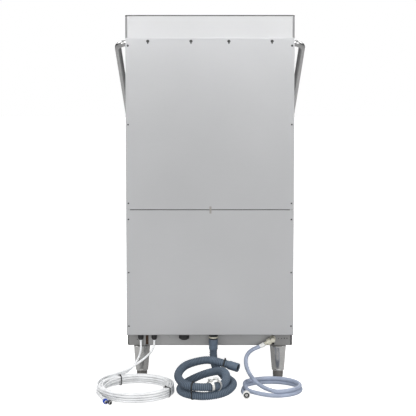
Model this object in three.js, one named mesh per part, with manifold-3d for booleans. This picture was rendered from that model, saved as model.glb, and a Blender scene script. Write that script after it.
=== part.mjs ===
// Commercial hood-type (pass-through) dishwasher with its hood closed.
// Millimetres, +Z up, floor at z = 0. The service side faces +Y and the operator's side faces -Y.
import * as THREE from "three";
import { mergeVertices } from "three/addons/utils/BufferGeometryUtils.js";
import Module from "manifold-3d";

const wasm = await Module();
wasm.setup();

// ---------------------------------------------------------------- driving dimensions

const GAP = 0.3; // running gap between neighbouring pieces
const SHEET = 2; // sheet steel of covers and shells
const SIDES = [
  ["left", 1],
  ["right", -1],
]; // names and signs of the two mirrored sides

const BODY_HALF = 316.5; // half width over the covers
const FRONT_Y = -302; // front face of the lower body
const COLUMN_Y = 283; // where the rear column starts
const BACK_Y = 373; // outer face of the rear covers

const FOOT_TOP = 27;
const BASE_Z = 124; // underside of the base frame
const BODY_Z = 174; // top of the base frame, underside of the covers
const FLOOR_Z = BASE_Z + 2.5; // top of the base frame's floor sheet
const SEAM_Z = 652.5; // middle of the gap between the two rear covers
const TANK_FLOOR_Z = 560;
const RIM_Z = 838; // top of the tank's rim
const COLUMN_TOP = 1298;

const HOOD = { half: 325, front: -312, rear: 279, bottom: 836, top: 1390, wall: 2, corner: 16, edge: 5 };
const WASH_Y = -18; // the wash chamber's centre line
const BASIN_HALF = 250; // half the inner size of the square tank basin

// The handle turns about PIVOT; its arms slope down towards the front when the hood is closed.
const PIVOT = { y: 321, z: 1281 };
const HANDLE = { radius: 12.5, armX: 350.5, arm: 768.3, bend: 60, stub: 302, stubBend: 33 };
const HANDLE_SLOPE = THREE.MathUtils.degToRad(27.5);
const ROLLER = { at: 473.6, radius: 12, bore: 4.3, pin: 4, inner: 328, outer: 337 };
const RAIL = { clear: 36, flange: 3, outer: 336, y0: -178, y1: -74 };

const CRANK = { reach: 32, x: 180, thick: 8, high: 16 };
const SPRING = { radius: 14, bottom: 705, top: 1268 };
const POST = { x: 230, y0: 292, y1: 312, bottom: 480, top: 1262 };
const POST_HALF = 10;

const LEG = { x: 262, rearY: 313, frontY: -250, topRadius: 30, lowRadius: 24 };
const FOOT = { radius: 19.3, stem: 6, stemTop: 86 };

const RAIL_FACE = 323; // rear face of the base frame
const BUTTON_X = [140, 180, 220];
const BUTTON = { radius: 9, z: 760, front: -311.5, back: -292 };
const STANDPIPE = { x: 190, y: -200, radius: 15, top: 730 };
const RISER = { y: 256, radius: 14, lowZ: 748, highZ: 1290, pumpZ: 300 };
const SPINDLE = 6;
const PUMP = { y: 60, volute: 78, motor: 58 };

// ---------------------------------------------------------------- hoses

const DRAIN = { radius: 15, cuff: 16.5, x: -13, y: 347 };
const DRAIN_COIL = { x: 16, y: 548, inner: 76, outer: 108, high: 58 };
const INLET_RADIUS = 7.5;
const INLET_COIL = { x: -227, y: 512, inner: 94, outer: 110, high: 31 };
const DOSING_RADIUS = 4;
const DOSING_COIL = { x: 270, y: 541, inner: 110, outer: 146, high: 34 };

// Each lead's route, from its outlet to the coil it runs into.
const DRAIN_LEAD = [
  [-13, 347, 116.7], [-13, 347, 106], [-13, 351, 94], [-14, 361, 82], [-16, 376, 72],
  [-19, 393, 65], [-23, 411, 60], [-28, 427, 57],
];
const INLET_LEAD = [
  [-209.1, 345, 133.8], [-197, 345, 127.5], [-182, 347.5, 121.5], [-165, 356, 116], [-150, 370, 109],
  [-139, 389, 98], [-135, 411, 84], [-137, 433, 69], [-143, 453, 56], [-149, 467, 48],
];
const DOSING_LEADS = {
  detergent: [
    [264, 347, 145.7], [264, 347.5, 132], [264, 349.5, 118], [266, 355, 104], [271, 364, 89],
    [280, 376, 73], [291, 388, 59], [304, 399, 48], [317, 408, 40],
  ],
  rinse_aid: [
    [213, 347, 145.7], [213.5, 348, 133], [217, 353, 119], [226, 362, 106], [241, 373, 93],
    [259, 384, 80], [279, 394, 68], [298, 404, 58], [317, 414, 50],
  ],
};
const GLAND_Z = 146; // mouths of the glands
const TUBE_GLAND = { radius: 10, mouth: 7, bore: 4.3, y: 347 };
const POWER_GLAND = { radius: 19, mouth: 12, bore: 7, y: 343 };
const DOSING_ENDS = { detergent: [368, 678], rinse_aid: [352, 684] };
const DOSING_END_RADIUS = 6.2;

// ---------------------------------------------------------------- materials

const finish = (color, roughness, metalness) =>
  new THREE.MeshStandardMaterial({ color, roughness, metalness });
const MATERIALS = {
  brushed: finish(0xc6c8ca, 0.38, 0.9),
  polished: finish(0xd4d6d8, 0.2, 0.95),
  bracket: finish(0x8c8c8a, 0.45, 0.85),
  rubber: finish(0x17181a, 0.7, 0),
  plastic: finish(0x2b2d30, 0.5, 0),
  cream: finish(0xd8d4be, 0.5, 0),
  drain_hose: finish(0x74838f, 0.55, 0),
  inlet_hose: finish(0xa4afc5, 0.4, 0),
  white_tube: finish(0xe4e5e6, 0.35, 0),
  blue: finish(0x1e4e9e, 0.5, 0),
  boiler: finish(0xb8a98c, 0.8, 0),
};

// ---------------------------------------------------------------- solid helpers

function solidOf(geometry) {
  const bare = geometry.clone();
  bare.deleteAttribute("normal");
  bare.deleteAttribute("uv");
  const merged = mergeVertices(bare, 1e-4);
  const vertProperties = merged.getAttribute("position").array;
  const triVerts = new Uint32Array(merged.index.array);
  return new wasm.Manifold(new wasm.Mesh({ numProp: 3, vertProperties, triVerts }));
}

function geometryOf(solid) {
  const mesh = solid.getMesh();
  const geometry = new THREE.BufferGeometry();
  geometry.setAttribute("position", new THREE.BufferAttribute(new Float32Array(mesh.vertProperties), 3));
  geometry.setIndex(new THREE.BufferAttribute(new Uint32Array(mesh.triVerts), 1));
  geometry.computeVertexNormals();
  return geometry;
}

const join = (...pieces) => geometryOf(pieces.map(solidOf).reduce((all, next) => all.add(next)));

const cut = (body, ...tools) =>
  geometryOf(tools.map(solidOf).reduce((rest, tool) => rest.subtract(tool), solidOf(body)));

// A box from its three [low, high] spans.
function box([x0, x1], [y0, y1], [z0, z1]) {
  const geometry = new THREE.BoxGeometry(x1 - x0, y1 - y0, z1 - z0);
  return geometry.translate((x0 + x1) / 2, (y0 + y1) / 2, (z0 + z1) / 2);
}

// A span mirrored to the side with this sign.
const span = (sign, a, b) => (sign > 0 ? [a, b] : [-b, -a]);

// A solid of revolution about Z, from [radius, z] points with the outside going up.
function turned(profile, sides) {
  const points = profile.map(([radius, z]) => new THREE.Vector2(radius, z));
  return new THREE.LatheGeometry(points, sides).rotateX(Math.PI / 2);
}

const drum = (radius, z0, z1, sides = 24) =>
  turned([[0, z0], [radius, z0], [radius, z1], [0, z1]], sides);

// A closed ring about Z.
const ring = (inner, outer, z0, z1, sides) =>
  turned([[inner, z0], [outer, z0], [outer, z1], [inner, z1], [inner, z0]], sides);

// A straight round bar between two points.
function bar(radius, from, to, sides = 16) {
  const start = new THREE.Vector3(...from);
  const along = new THREE.Vector3(...to).sub(start);
  const geometry = drum(radius, 0, along.length(), sides);
  const up = new THREE.Vector3(0, 0, 1);
  const turn = new THREE.Quaternion().setFromUnitVectors(up, along.clone().normalize());
  return geometry.applyQuaternion(turn).translate(start.x, start.y, start.z);
}

function extruded(shape, z0, z1, curveSegments = 5) {
  const options = { depth: z1 - z0, bevelEnabled: false, curveSegments };
  return new THREE.ExtrudeGeometry(shape, options).translate(0, 0, z0);
}

// A rectangle with round corners, x from -half to half and y from y0 to y1.
function roundedPlan(half, y0, y1, radius) {
  const shape = new THREE.Shape();
  shape.moveTo(-half + radius, y0);
  shape.absarc(half - radius, y0 + radius, radius, -Math.PI / 2, 0);
  shape.absarc(half - radius, y1 - radius, radius, 0, Math.PI / 2);
  shape.absarc(-half + radius, y1 - radius, radius, Math.PI / 2, Math.PI);
  shape.absarc(-half + radius, y0 + radius, radius, Math.PI, Math.PI * 1.5);
  shape.closePath();
  return shape;
}

// A route whose extrusion steps fall on its own points, so a straight run takes one step.
class Route extends THREE.Curve {
  constructor(points) {
    super();
    this.points = points;
  }

  at(step) {
    return this.points[THREE.MathUtils.clamp(step, 0, this.points.length - 1)];
  }

  stepOf(t) {
    return Math.round(t * (this.points.length - 1));
  }

  getPoint(t, target = new THREE.Vector3()) {
    return target.copy(this.at(this.stepOf(t)));
  }

  getPointAt(u, target) {
    return this.getPoint(u, target);
  }

  getTangent(t, target = new THREE.Vector3()) {
    const step = this.stepOf(t);
    const before = this.at(step).clone().sub(this.at(step - 1)).normalize();
    const after = this.at(step + 1).clone().sub(this.at(step)).normalize();
    return target.copy(before).add(after).normalize();
  }

  getTangentAt(u, target) {
    return this.getTangent(u, target);
  }
}

// A round tube along points.
function tube(points, radius, sides = 12) {
  const corners = [];
  for (let i = 0; i < sides; i++) {
    const angle = (2 * Math.PI * i) / sides;
    corners.push(new THREE.Vector2(radius * Math.cos(angle), radius * Math.sin(angle)));
  }
  const options = { steps: points.length - 1, extrudePath: new Route(points) };
  return new THREE.ExtrudeGeometry(new THREE.Shape(corners), options);
}

// A hose along a smooth curve through hand-placed points, with a step every stepLength.
function hose(places, radius, stepLength, sides = 10) {
  const points = places.map((place) => new THREE.Vector3(...place));
  const curve = new THREE.CatmullRomCurve3(points, false, "centripetal");
  const steps = Math.max(4, Math.round(curve.getLength() / stepLength));
  return tube(curve.getSpacedPoints(steps), radius, sides);
}

// Points of a quarter turn about a centre, from centre + from to centre + to.
function quarterTurn(centre, from, to, steps = 5) {
  const points = [];
  for (let i = 0; i <= steps; i++) {
    const angle = (Math.PI / 2) * (i / steps);
    const point = new THREE.Vector3(...centre);
    point.addScaledVector(new THREE.Vector3(...from), Math.cos(angle));
    point.addScaledVector(new THREE.Vector3(...to), Math.sin(angle));
    points.push(point);
  }
  return points;
}

// ---------------------------------------------------------------- base, legs and feet

// The base tray's outline, with its rear corners cut off.
function basePlan(inset) {
  const half = BODY_HALF - 1.5 - inset;
  const front = FRONT_Y + 9 + inset;
  const rear = RAIL_FACE - inset;
  const chamfer = 7;
  const shape = new THREE.Shape();
  shape.moveTo(-half, front);
  shape.lineTo(half, front);
  shape.lineTo(half, rear - chamfer);
  shape.lineTo(half - chamfer, rear);
  shape.lineTo(-half + chamfer, rear);
  shape.lineTo(-half, rear - chamfer);
  shape.closePath();
  return shape;
}

// A folded tray whose rear wall has a slot beside each corner bracket.
function baseFrame() {
  const slots = SIDES.map(([, sign]) =>
    box(span(sign, 236, 247), [RAIL_FACE - 6, RAIL_FACE + 1], [FLOOR_Z, BODY_Z + 1]),
  );
  const inside = extruded(basePlan(2.5), FLOOR_Z, BODY_Z + 1);
  return cut(extruded(basePlan(0), BASE_Z, BODY_Z), inside, ...slots);
}

// A cone-shaped leg, bored for the foot's threaded stem.
function leg() {
  const bore = FOOT.stem + 0.5;
  const boreTop = FOOT.stemTop + 8;
  const profile = [
    [bore, FOOT_TOP], [LEG.lowRadius - 2, FOOT_TOP], [LEG.lowRadius, FOOT_TOP + 3],
    [LEG.topRadius, BASE_Z - GAP], [0, BASE_Z - GAP], [0, boreTop], [bore, boreTop], [bore, FOOT_TOP],
  ];
  return turned(profile, 24);
}

function foot() {
  const shoulder = FOOT_TOP - GAP;
  const profile = [
    [0, 0], [FOOT.radius - 2, 0], [FOOT.radius, 4], [FOOT.radius, shoulder - 3], [FOOT.radius - 2, shoulder],
    [FOOT.stem, shoulder], [FOOT.stem, FOOT.stemTop], [0, FOOT.stemTop],
  ];
  return turned(profile, 20);
}

// ---------------------------------------------------------------- lower body

function sidePanel(sign) {
  const top = RIM_Z - 3 - GAP;
  return box(span(sign, BODY_HALF - SHEET, BODY_HALF), [FRONT_Y, COLUMN_Y - GAP], [BODY_Z + GAP, top]);
}

function frontPanel() {
  const half = BODY_HALF - SHEET - GAP;
  return box([-half, half], [FRONT_Y, FRONT_Y + SHEET], [BODY_Z + GAP, 690]);
}

// The fascia: a box open at the back, with a hole for each push button.
function controlPanel() {
  const half = BODY_HALF - SHEET - GAP;
  const front = FRONT_Y - 6;
  const [low, high] = [694, RIM_Z - 3 - GAP];
  const depth = 34;
  const shell = box([-half, half], [front, front + depth], [low, high]);
  const inside = [-half + SHEET, half - SHEET];
  const hollow = box(inside, [front + SHEET, front + depth + 1], [low + SHEET, high - SHEET]);
  const holes = BUTTON_X.map((x) =>
    bar(BUTTON.radius + 0.4, [x, front - 1, BUTTON.z], [x, front + 4, BUTTON.z], 20),
  );
  return cut(shell, hollow, ...holes);
}

function pushButton() {
  const { radius, front, back } = BUTTON;
  const long = back - front;
  const profile = [[0, 0], [radius, 0], [radius, long - 1.5], [radius - 1.5, long], [0, long]];
  return turned(profile, 20).rotateX(Math.PI / 2);
}

// ---------------------------------------------------------------- tank and what it holds

function washTank() {
  const [front, rear] = [WASH_Y - BASIN_HALF, WASH_Y + BASIN_HALF];
  const rim = box([-313, 313], [FRONT_Y + 4, COLUMN_Y - 7], [RIM_Z - 3, RIM_Z]);
  const basin = extruded(roundedPlan(BASIN_HALF + 2, front - 2, rear + 2, 42), TANK_FLOOR_Z, RIM_Z - 1);
  const hollow = extruded(roundedPlan(BASIN_HALF, front, rear, 40), TANK_FLOOR_Z + 2, RIM_Z + 1);
  const { x, y } = STANDPIPE;
  const drainHole = drum(STANDPIPE.radius + 0.5, TANK_FLOOR_Z - 1, TANK_FLOOR_Z + 4, 16).translate(x, y, 0);
  const suctionHole = drum(18, TANK_FLOOR_Z - 1, TANK_FLOOR_Z + 4, 16).translate(0, PUMP.y, 0);
  const riserHole = drum(RISER.radius + 0.8, RIM_Z - 4, RIM_Z + 1, 16).translate(0, RISER.y, 0);
  const branchHole = bar(RISER.radius + 0.8, [0, rear - 6, RISER.lowZ], [0, rear + 6, RISER.lowZ]);
  return cut(join(rim, basin), hollow, drainHole, suctionHole, riserHole, branchHole);
}

// The overflow standpipe stands in the drain hole and is drawn up to empty the tank.
function standpipe() {
  const { x, y, radius, top } = STANDPIPE;
  const profile = [
    [0, TANK_FLOOR_Z - 8], [radius - 1, TANK_FLOOR_Z - 8], [radius - 1, TANK_FLOOR_Z + 2 + GAP],
    [radius + 6, TANK_FLOOR_Z + 2 + GAP], [radius + 6, TANK_FLOOR_Z + 10], [radius - 1, TANK_FLOOR_Z + 14],
    [radius - 1, top], [radius - 4, top], [radius - 4, TANK_FLOOR_Z + 20], [0, TANK_FLOOR_Z + 20],
  ];
  return turned(profile, 20).translate(x, y, 0);
}

// The strainer plate over the tank, open for the standpipe and the lower spray branch.
function tankFilter() {
  const [low, high] = [716, 719];
  const edge = BASIN_HALF - 4;
  const plate = extruded(roundedPlan(edge, WASH_Y - edge, WASH_Y + edge, 36), low, high);
  const pipeHole = drum(STANDPIPE.radius + 12, low - 1, high + 1, 20).translate(STANDPIPE.x, STANDPIPE.y, 0);
  return cut(plate, pipeHole);
}

// A hairpin heating element lying over the tank floor.
function washHeater() {
  const [half, radius, z] = [90, 4.5, 592];
  const [front, rear] = [WASH_Y - 150, WASH_Y + 205];
  const end = (sign) => new THREE.Vector3(sign * half, rear, z);
  const turn = [
    ...quarterTurn([half - 40, front, z], [40, 0, 0], [0, -40, 0]),
    ...quarterTurn([-half + 40, front, z], [0, -40, 0], [-40, 0, 0]),
  ];
  const points = [end(1), ...turn, end(-1)];
  const flange = box([-half - 20, half + 20], [rear - 2, rear + 2], [z - 14, z + 14]);
  return join(tube(points, radius, 8), flange);
}

// The open frame that carries the rack through the machine from side to side.
function rackGuide() {
  const reach = 245;
  const pieces = [];
  for (const y of [WASH_Y - reach, WASH_Y + reach]) {
    pieces.push(box([-285, 285], [y - 4, y + 4], [858, 870]));
    for (const x of [-275, 275]) pieces.push(box([x - 5, x + 5], [y - 4, y + 4], [RIM_Z + GAP, 859]));
  }
  for (const x of [-258, 258]) {
    pieces.push(box([x - 4, x + 4], [WASH_Y - reach, WASH_Y + reach], [850, 862]));
  }
  return join(...pieces);
}

// ---------------------------------------------------------------- spray system

// The pressure pipe from the pump: up behind the tank, with a branch to each pair of spray arms.
function sprayManifold() {
  const { y, radius, lowZ, highZ, pumpZ } = RISER;
  const bend = 40;
  const main = [
    new THREE.Vector3(0, PUMP.y + PUMP.volute + GAP, pumpZ),
    ...quarterTurn([0, y - bend, pumpZ + bend], [0, 0, -bend], [0, bend, 0]),
    ...quarterTurn([0, y - bend, highZ - bend], [0, bend, 0], [0, 0, bend]),
    new THREE.Vector3(0, WASH_Y - 8, highZ),
  ];
  const branch = bar(radius - 1, [0, y, lowZ], [0, WASH_Y - 14, lowZ]);
  const lowSpindle = bar(SPINDLE, [0, WASH_Y, lowZ], [0, WASH_Y, 806]);
  const highSpindle = bar(SPINDLE, [0, WASH_Y, highZ], [0, WASH_Y, 1238]);
  return join(tube(main, radius, 16), branch, lowSpindle, highSpindle);
}

// A spray arm with round ends, bored to turn on its spindle, lowest face at z = 0.
function sprayArm(reach, half, thick) {
  const shape = new THREE.Shape();
  shape.absarc(reach - half, 0, half, -Math.PI / 2, Math.PI / 2);
  shape.absarc(-reach + half, 0, half, Math.PI / 2, Math.PI * 1.5);
  shape.closePath();
  const hub = drum(half + 6, 0, thick, 20);
  return cut(join(extruded(shape, 1, thick - 1, 4), hub), drum(SPINDLE + 0.6, -1, thick + 1, 16));
}

// ---------------------------------------------------------------- machinery in the cabinet

function washPump() {
  const { y, volute, motor } = PUMP;
  const z = RISER.pumpZ;
  return join(
    bar(volute, [-25, y, z], [25, y, z], 28),
    bar(motor, [24, y, z], [230, y, z], 24),
    bar(17.5, [0, y, z], [0, y, TANK_FLOOR_Z + 1], 16),
    box([70, 200], [y - 40, y + 40], [FLOOR_Z + GAP, z - 30]),
  );
}

function rinseBoiler() {
  const profile = [
    [0, FLOOR_Z + GAP], [60, FLOOR_Z + GAP], [60, 150], [84, 150], [90, 158],
    [90, 470], [78, 484], [0, 488],
  ];
  const outlet = bar(8, [0, 0, 480], [0, 0, 520]);
  return join(turned(profile, 28), outlet).translate(-190, 100, 0);
}

function dosingUnit() {
  const body = box([130, 280], [-280, -190], [FLOOR_Z + GAP, 330]);
  const heads = [168, 242].map((x) => bar(28, [x, -195, 270], [x, -160, 270], 20));
  return join(body, ...heads);
}

function inletValve() {
  const [x, y] = [-240, 262];
  const body = box([x - 22, x + 22], [y - 18, y + 18], [FLOOR_Z + GAP, 168]);
  const neck = bar(9, [x, y, 150], [x, RAIL_FACE - 2.5 - GAP, 150], 16);
  return join(body, neck, bar(14, [x, y, 160], [x, y, 200], 16));
}

const electricalBox = () => box([-290, -90], [-280, -140], [FLOOR_Z + GAP, 420]);

// ---------------------------------------------------------------- rear column

function rearPanel(low, high, hasLip) {
  const skin = box([-BODY_HALF, BODY_HALF], [BACK_Y - 1.7, BACK_Y], [low, high]);
  if (!hasLip) return skin;
  // The lip folds forward under the column.
  return join(skin, box([-BODY_HALF, BODY_HALF], [BACK_Y - 14, BACK_Y - 1], [low, low + 1.7]));
}

// The shell that carries the hood's guide posts, the handle shaft and the springs.
function rearColumn() {
  const half = BODY_HALF - GAP;
  const rear = BACK_Y - 2;
  const low = BODY_Z + 2;
  const pieces = [
    box([-half, half], [COLUMN_Y, rear], [COLUMN_TOP - SHEET, COLUMN_TOP]),
    box([-half, half], [COLUMN_Y, rear], [low, low + SHEET]),
    box([-120, 120], [COLUMN_Y, COLUMN_Y + SHEET], [low, COLUMN_TOP]),
    box([-210, 210], [COLUMN_Y, rear - 2], [SPRING.bottom - 5, SPRING.bottom - GAP]),
  ];
  for (const [, sign] of SIDES) {
    pieces.push(box(span(sign, half - SHEET, half), [COLUMN_Y, rear], [low, COLUMN_TOP]));
    pieces.push(box(span(sign, half - 18, half), [rear - SHEET, rear], [low, COLUMN_TOP]));
    pieces.push(box(span(sign, half - 18, half), [COLUMN_Y, COLUMN_Y + SHEET], [low, COLUMN_TOP]));
  }
  const shaftHole = bar(HANDLE.radius + 1, [-half - 1, PIVOT.y, PIVOT.z], [half + 1, PIVOT.y, PIVOT.z], 24);
  return cut(join(...pieces), shaftHole);
}

// A square post with a bracket at its foot that reaches the column's side.
function guidePost(sign) {
  const { x, y0, y1, bottom, top } = POST;
  const reach = BODY_HALF - GAP - SHEET - GAP;
  const post = box(span(sign, x - POST_HALF, x + POST_HALF), [y0, y1], [bottom, top]);
  return join(post, box(span(sign, x - POST_HALF, reach), [y0, y1], [bottom, bottom + 6]));
}

function spring() {
  return drum(SPRING.radius, SPRING.bottom, SPRING.top, 16);
}

// ---------------------------------------------------------------- hood

// The hood: a shell open at the bottom, with a channel on each side for the handle's roller.
function hoodShell() {
  const { half, front, rear, bottom, top, wall, corner, edge } = HOOD;
  const inset = roundedPlan(half - edge, front + edge, rear - edge, corner - edge);
  const bevel = { bevelEnabled: true, bevelSize: edge, bevelThickness: edge, bevelSegments: 3 };
  const options = { ...bevel, depth: top - bottom, curveSegments: 4 };
  const block = new THREE.ExtrudeGeometry(inset, options).translate(0, 0, bottom - edge);
  const below = box([-half - 5, half + 5], [front - 5, rear + 5], [bottom - 20, bottom]);
  const inner = roundedPlan(half - wall, front + wall, rear - wall, corner - wall);
  const hollow = extruded(inner, bottom - 1, top - wall, 4);
  const middle = PIVOT.z - ROLLER.at * Math.sin(HANDLE_SLOPE);
  const [low, high] = [middle - RAIL.clear / 2, middle + RAIL.clear / 2];
  const rails = [];
  for (const [, sign] of SIDES) {
    const along = [RAIL.y0, RAIL.y1];
    rails.push(box(span(sign, half - 1, half + 1.5), along, [low - RAIL.flange, high + RAIL.flange]));
    rails.push(box(span(sign, half, RAIL.outer), along, [low - RAIL.flange, low]));
    rails.push(box(span(sign, half, RAIL.outer), along, [high, high + RAIL.flange]));
  }
  return join(cut(block, below, hollow), ...rails);
}

// The carriage on the hood's back, with two sliders on each guide post.
function hoodCarriage() {
  const [near, far] = [HOOD.rear + GAP, COLUMN_Y - GAP];
  const bore = POST_HALF + GAP;
  const pieces = [box([-260, 260], [near, far], [840, 900])];
  const bores = [];
  for (const [, sign] of SIDES) {
    pieces.push(box(span(sign, 212, 248), [near, far], [560, 845]));
    for (const z of [560, 800]) {
      pieces.push(box(span(sign, POST.x - 15, POST.x + 15), [far - 1, POST.y1 + 5], [z, z + 30]));
      const hole = span(sign, POST.x - bore, POST.x + bore);
      bores.push(box(hole, [POST.y0 - GAP, POST.y1 + GAP], [z - 1, z + 31]));
    }
  }
  return cut(join(...pieces), ...bores);
}

// ---------------------------------------------------------------- handle (drawn level, its group turns it)

function handleTube() {
  const { radius, armX, arm, bend, stub, stubBend } = HANDLE;
  const half = (sign) => [
    new THREE.Vector3(sign * stub, 0, 0),
    ...quarterTurn([sign * (armX - stubBend), -stubBend, 0], [0, stubBend, 0], [sign * stubBend, 0, 0]),
    ...quarterTurn([sign * (armX - bend), bend - arm, 0], [sign * bend, 0, 0], [0, -bend, 0]),
  ];
  const loop = tube([...half(-1), ...half(1).reverse()], radius, 16);
  const pinEnd = ROLLER.inner - 0.8;
  const pins = SIDES.map(([, sign]) =>
    bar(ROLLER.pin, [sign * armX, -ROLLER.at, 0], [sign * pinEnd, -ROLLER.at, 0], 12),
  );
  return join(loop, ...pins);
}

const roller = () =>
  ring(ROLLER.bore, ROLLER.radius, ROLLER.inner, ROLLER.outer, 20).rotateY(Math.PI / 2);

// The shaft that joins the handle's stubs, with the two cranks that the springs pull on.
function pivotShaft() {
  const end = HANDLE.stub - 1;
  const { reach, x, thick, high } = CRANK;
  const cranks = SIDES.map(([, sign]) =>
    box(span(sign, x - thick / 2, x + thick / 2), [0, reach + 6], [-high / 2, high / 2]),
  );
  return join(bar(10, [-end, 0, 0], [end, 0, 0], 16), ...cranks);
}

// ---------------------------------------------------------------- rear fittings

// A gland that points down behind the base rail, with a blind bore for its tube and a boss to the rail.
function gland({ radius, mouth, bore, y }) {
  const low = GLAND_Z;
  const profile = [
    [bore, low], [mouth, low], [radius, low + 9], [radius, low + 25], [0, low + 25],
    [0, low + 12], [bore, low + 12], [bore, low],
  ];
  const boss = bar(7, [0, RAIL_FACE + GAP, low + 18], [0, y, low + 18], 12);
  const mouthBore = drum(bore, low - 1, low + 12, 20).translate(0, y, 0);
  return cut(join(turned(profile, 20).translate(0, y, 0), boss), mouthBore);
}

// The drain outlet: out of the base rail, then down into the hose's cuff.
function drainSpigot() {
  const { x, y } = DRAIN;
  const bend = 20;
  const top = 160;
  const points = [
    new THREE.Vector3(x, RAIL_FACE + GAP, top),
    ...quarterTurn([x, y - bend, top - bend], [0, 0, bend], [0, bend, 0]),
    new THREE.Vector3(x, y, DRAIN_LEAD[0][2] + 2 * GAP),
  ];
  const collar = drum(DRAIN.cuff, DRAIN_LEAD[0][2] + 3, 148, 20).translate(x, y, 0);
  return join(tube(points, 12, 16), collar);
}

// The water inlet: a boss on the base rail and a nozzle that slopes down towards the middle.
function inletElbow() {
  const [x, y, z] = [-240, 345, 150];
  const mouth = [-210, y, 134.3];
  const boss = bar(9, [x, RAIL_FACE + GAP, z], [x, y + 9, z], 16);
  const nozzle = bar(8, [x, y, z], mouth, 16);
  const nut = bar(11, [-232, y, 145.8], [-218, y, 138.5], 6);
  return join(boss, nozzle, nut);
}

// ---------------------------------------------------------------- cords

const coil = ({ x, y, inner, outer, high }) => ring(inner, outer, 0, high, 40).translate(x, y, 0);

const drainEnd = () => bar(DRAIN.cuff, [-73, 469, 84], [-105, 485, 78], 20);

// The inlet hose's union nut, lying with its mouth to the rear.
const inletNut = () => bar(14, [-131, 601, 14.3], [-131, 623, 14.3], 16);

function dosingEnd([x, y]) {
  const half = 9;
  const aim = [-0.35 * half, 0.94 * half];
  const z = DOSING_END_RADIUS + 0.4;
  return bar(DOSING_END_RADIUS, [x - aim[0], y - aim[1], z], [x + aim[0], y + aim[1], z], 12);
}

// ---------------------------------------------------------------- assembly

const machine = new THREE.Group();

function add(name, geometry, material, parent = machine) {
  const mesh = new THREE.Mesh(geometry, MATERIALS[material]);
  mesh.name = name;
  parent.add(mesh);
  return mesh;
}

add("base_frame", baseFrame(), "bracket");
for (const [side, sign] of SIDES) {
  for (const [end, y] of [["front", LEG.frontY], ["rear", LEG.rearY]]) {
    add(`leg_${end}_${side}`, leg(), "polished").position.set(sign * LEG.x, y, 0);
    add(`foot_${end}_${side}`, foot(), "bracket").position.set(sign * LEG.x, y, 0);
  }
  add(`side_panel_${side}`, sidePanel(sign), "brushed");
  add(`guide_post_${side}`, guidePost(sign), "polished");
  add(`spring_${side}`, spring(), "bracket").position.set(sign * CRANK.x, PIVOT.y + CRANK.reach, 0);
}
add("front_panel", frontPanel(), "brushed");
add("control_panel", controlPanel(), "brushed");
["power", "cycle", "start"].forEach((use, i) => {
  add(`button_${use}`, pushButton(), "plastic").position.set(BUTTON_X[i], BUTTON.back, BUTTON.z);
});

add("wash_tank", washTank(), "brushed");
add("drain_standpipe", standpipe(), "plastic");
add("tank_filter", tankFilter(), "brushed");
add("wash_heater", washHeater(), "polished");
add("rack_guide", rackGuide(), "polished");

add("spray_manifold", sprayManifold(), "polished");
add("lower_wash_arm", sprayArm(235, 18, 16), "polished").position.set(0, WASH_Y, 766);
add("lower_rinse_arm", sprayArm(205, 9, 10), "polished").position.set(0, WASH_Y, 788);
add("upper_wash_arm", sprayArm(235, 18, 16), "polished").position.set(0, WASH_Y, 1256);
add("upper_rinse_arm", sprayArm(205, 9, 10), "polished").position.set(0, WASH_Y, 1240);

add("wash_pump", washPump(), "bracket");
add("rinse_boiler", rinseBoiler(), "boiler");
add("dosing_unit", dosingUnit(), "plastic");
add("inlet_valve", inletValve(), "plastic");
add("electrical_box", electricalBox(), "bracket");

add("rear_panel_upper", rearPanel(SEAM_Z + 1.5, COLUMN_TOP, false), "brushed");
add("rear_panel_lower", rearPanel(BODY_Z, SEAM_Z - 1.5, true), "brushed");
add("rear_column", rearColumn(), "brushed");
add("hood_shell", hoodShell(), "brushed");
add("hood_carriage", hoodCarriage(), "bracket");

add("pivot_shaft", pivotShaft(), "polished").position.set(0, PIVOT.y, PIVOT.z);
const handle = new THREE.Group();
handle.position.set(0, PIVOT.y, PIVOT.z);
handle.rotation.x = HANDLE_SLOPE;
machine.add(handle);
add("handle_tube", handleTube(), "polished", handle);
for (const [side, sign] of SIDES) {
  const wheel = add(`roller_${side}`, roller(), "plastic", handle);
  wheel.position.set(sign > 0 ? 0 : -ROLLER.inner - ROLLER.outer, -ROLLER.at, 0);
}

add("tube_gland_detergent", gland(TUBE_GLAND), "rubber").position.x = DOSING_LEADS.detergent[0][0];
add("tube_gland_rinse_aid", gland(TUBE_GLAND), "rubber").position.x = DOSING_LEADS.rinse_aid[0][0];
add("power_gland", gland(POWER_GLAND), "rubber").position.x = 99;
add("drain_spigot", drainSpigot(), "plastic");
add("inlet_elbow", inletElbow(), "cream");

add("drain_hose_lead", hose(DRAIN_LEAD, DRAIN.radius, 14, 12), "drain_hose");
add("drain_hose_coil", coil(DRAIN_COIL), "drain_hose");
add("drain_hose_end", drainEnd(), "drain_hose");
add("inlet_hose_lead", hose(INLET_LEAD, INLET_RADIUS, 14), "inlet_hose");
add("inlet_hose_coil", coil(INLET_COIL), "inlet_hose");
add("inlet_hose_nut", inletNut(), "cream");
for (const [name, places] of Object.entries(DOSING_LEADS)) {
  add(`dosing_lead_${name}`, hose(places, DOSING_RADIUS, 14, 8), "white_tube");
  add(`dosing_end_${name}`, dosingEnd(DOSING_ENDS[name]), name === "detergent" ? "blue" : "rubber");
}
add("dosing_coil", coil(DOSING_COIL), "white_tube");

export default machine;
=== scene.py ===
"""Looks of a commercial hood-type dishwasher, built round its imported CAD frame.

Lengths are written in millimetres and turned into metres as each mesh is finished. The service side
faces +Y, and "left" is the +X side.
"""
import math

import bmesh
import bpy
from mathutils import Matrix, Vector


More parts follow.
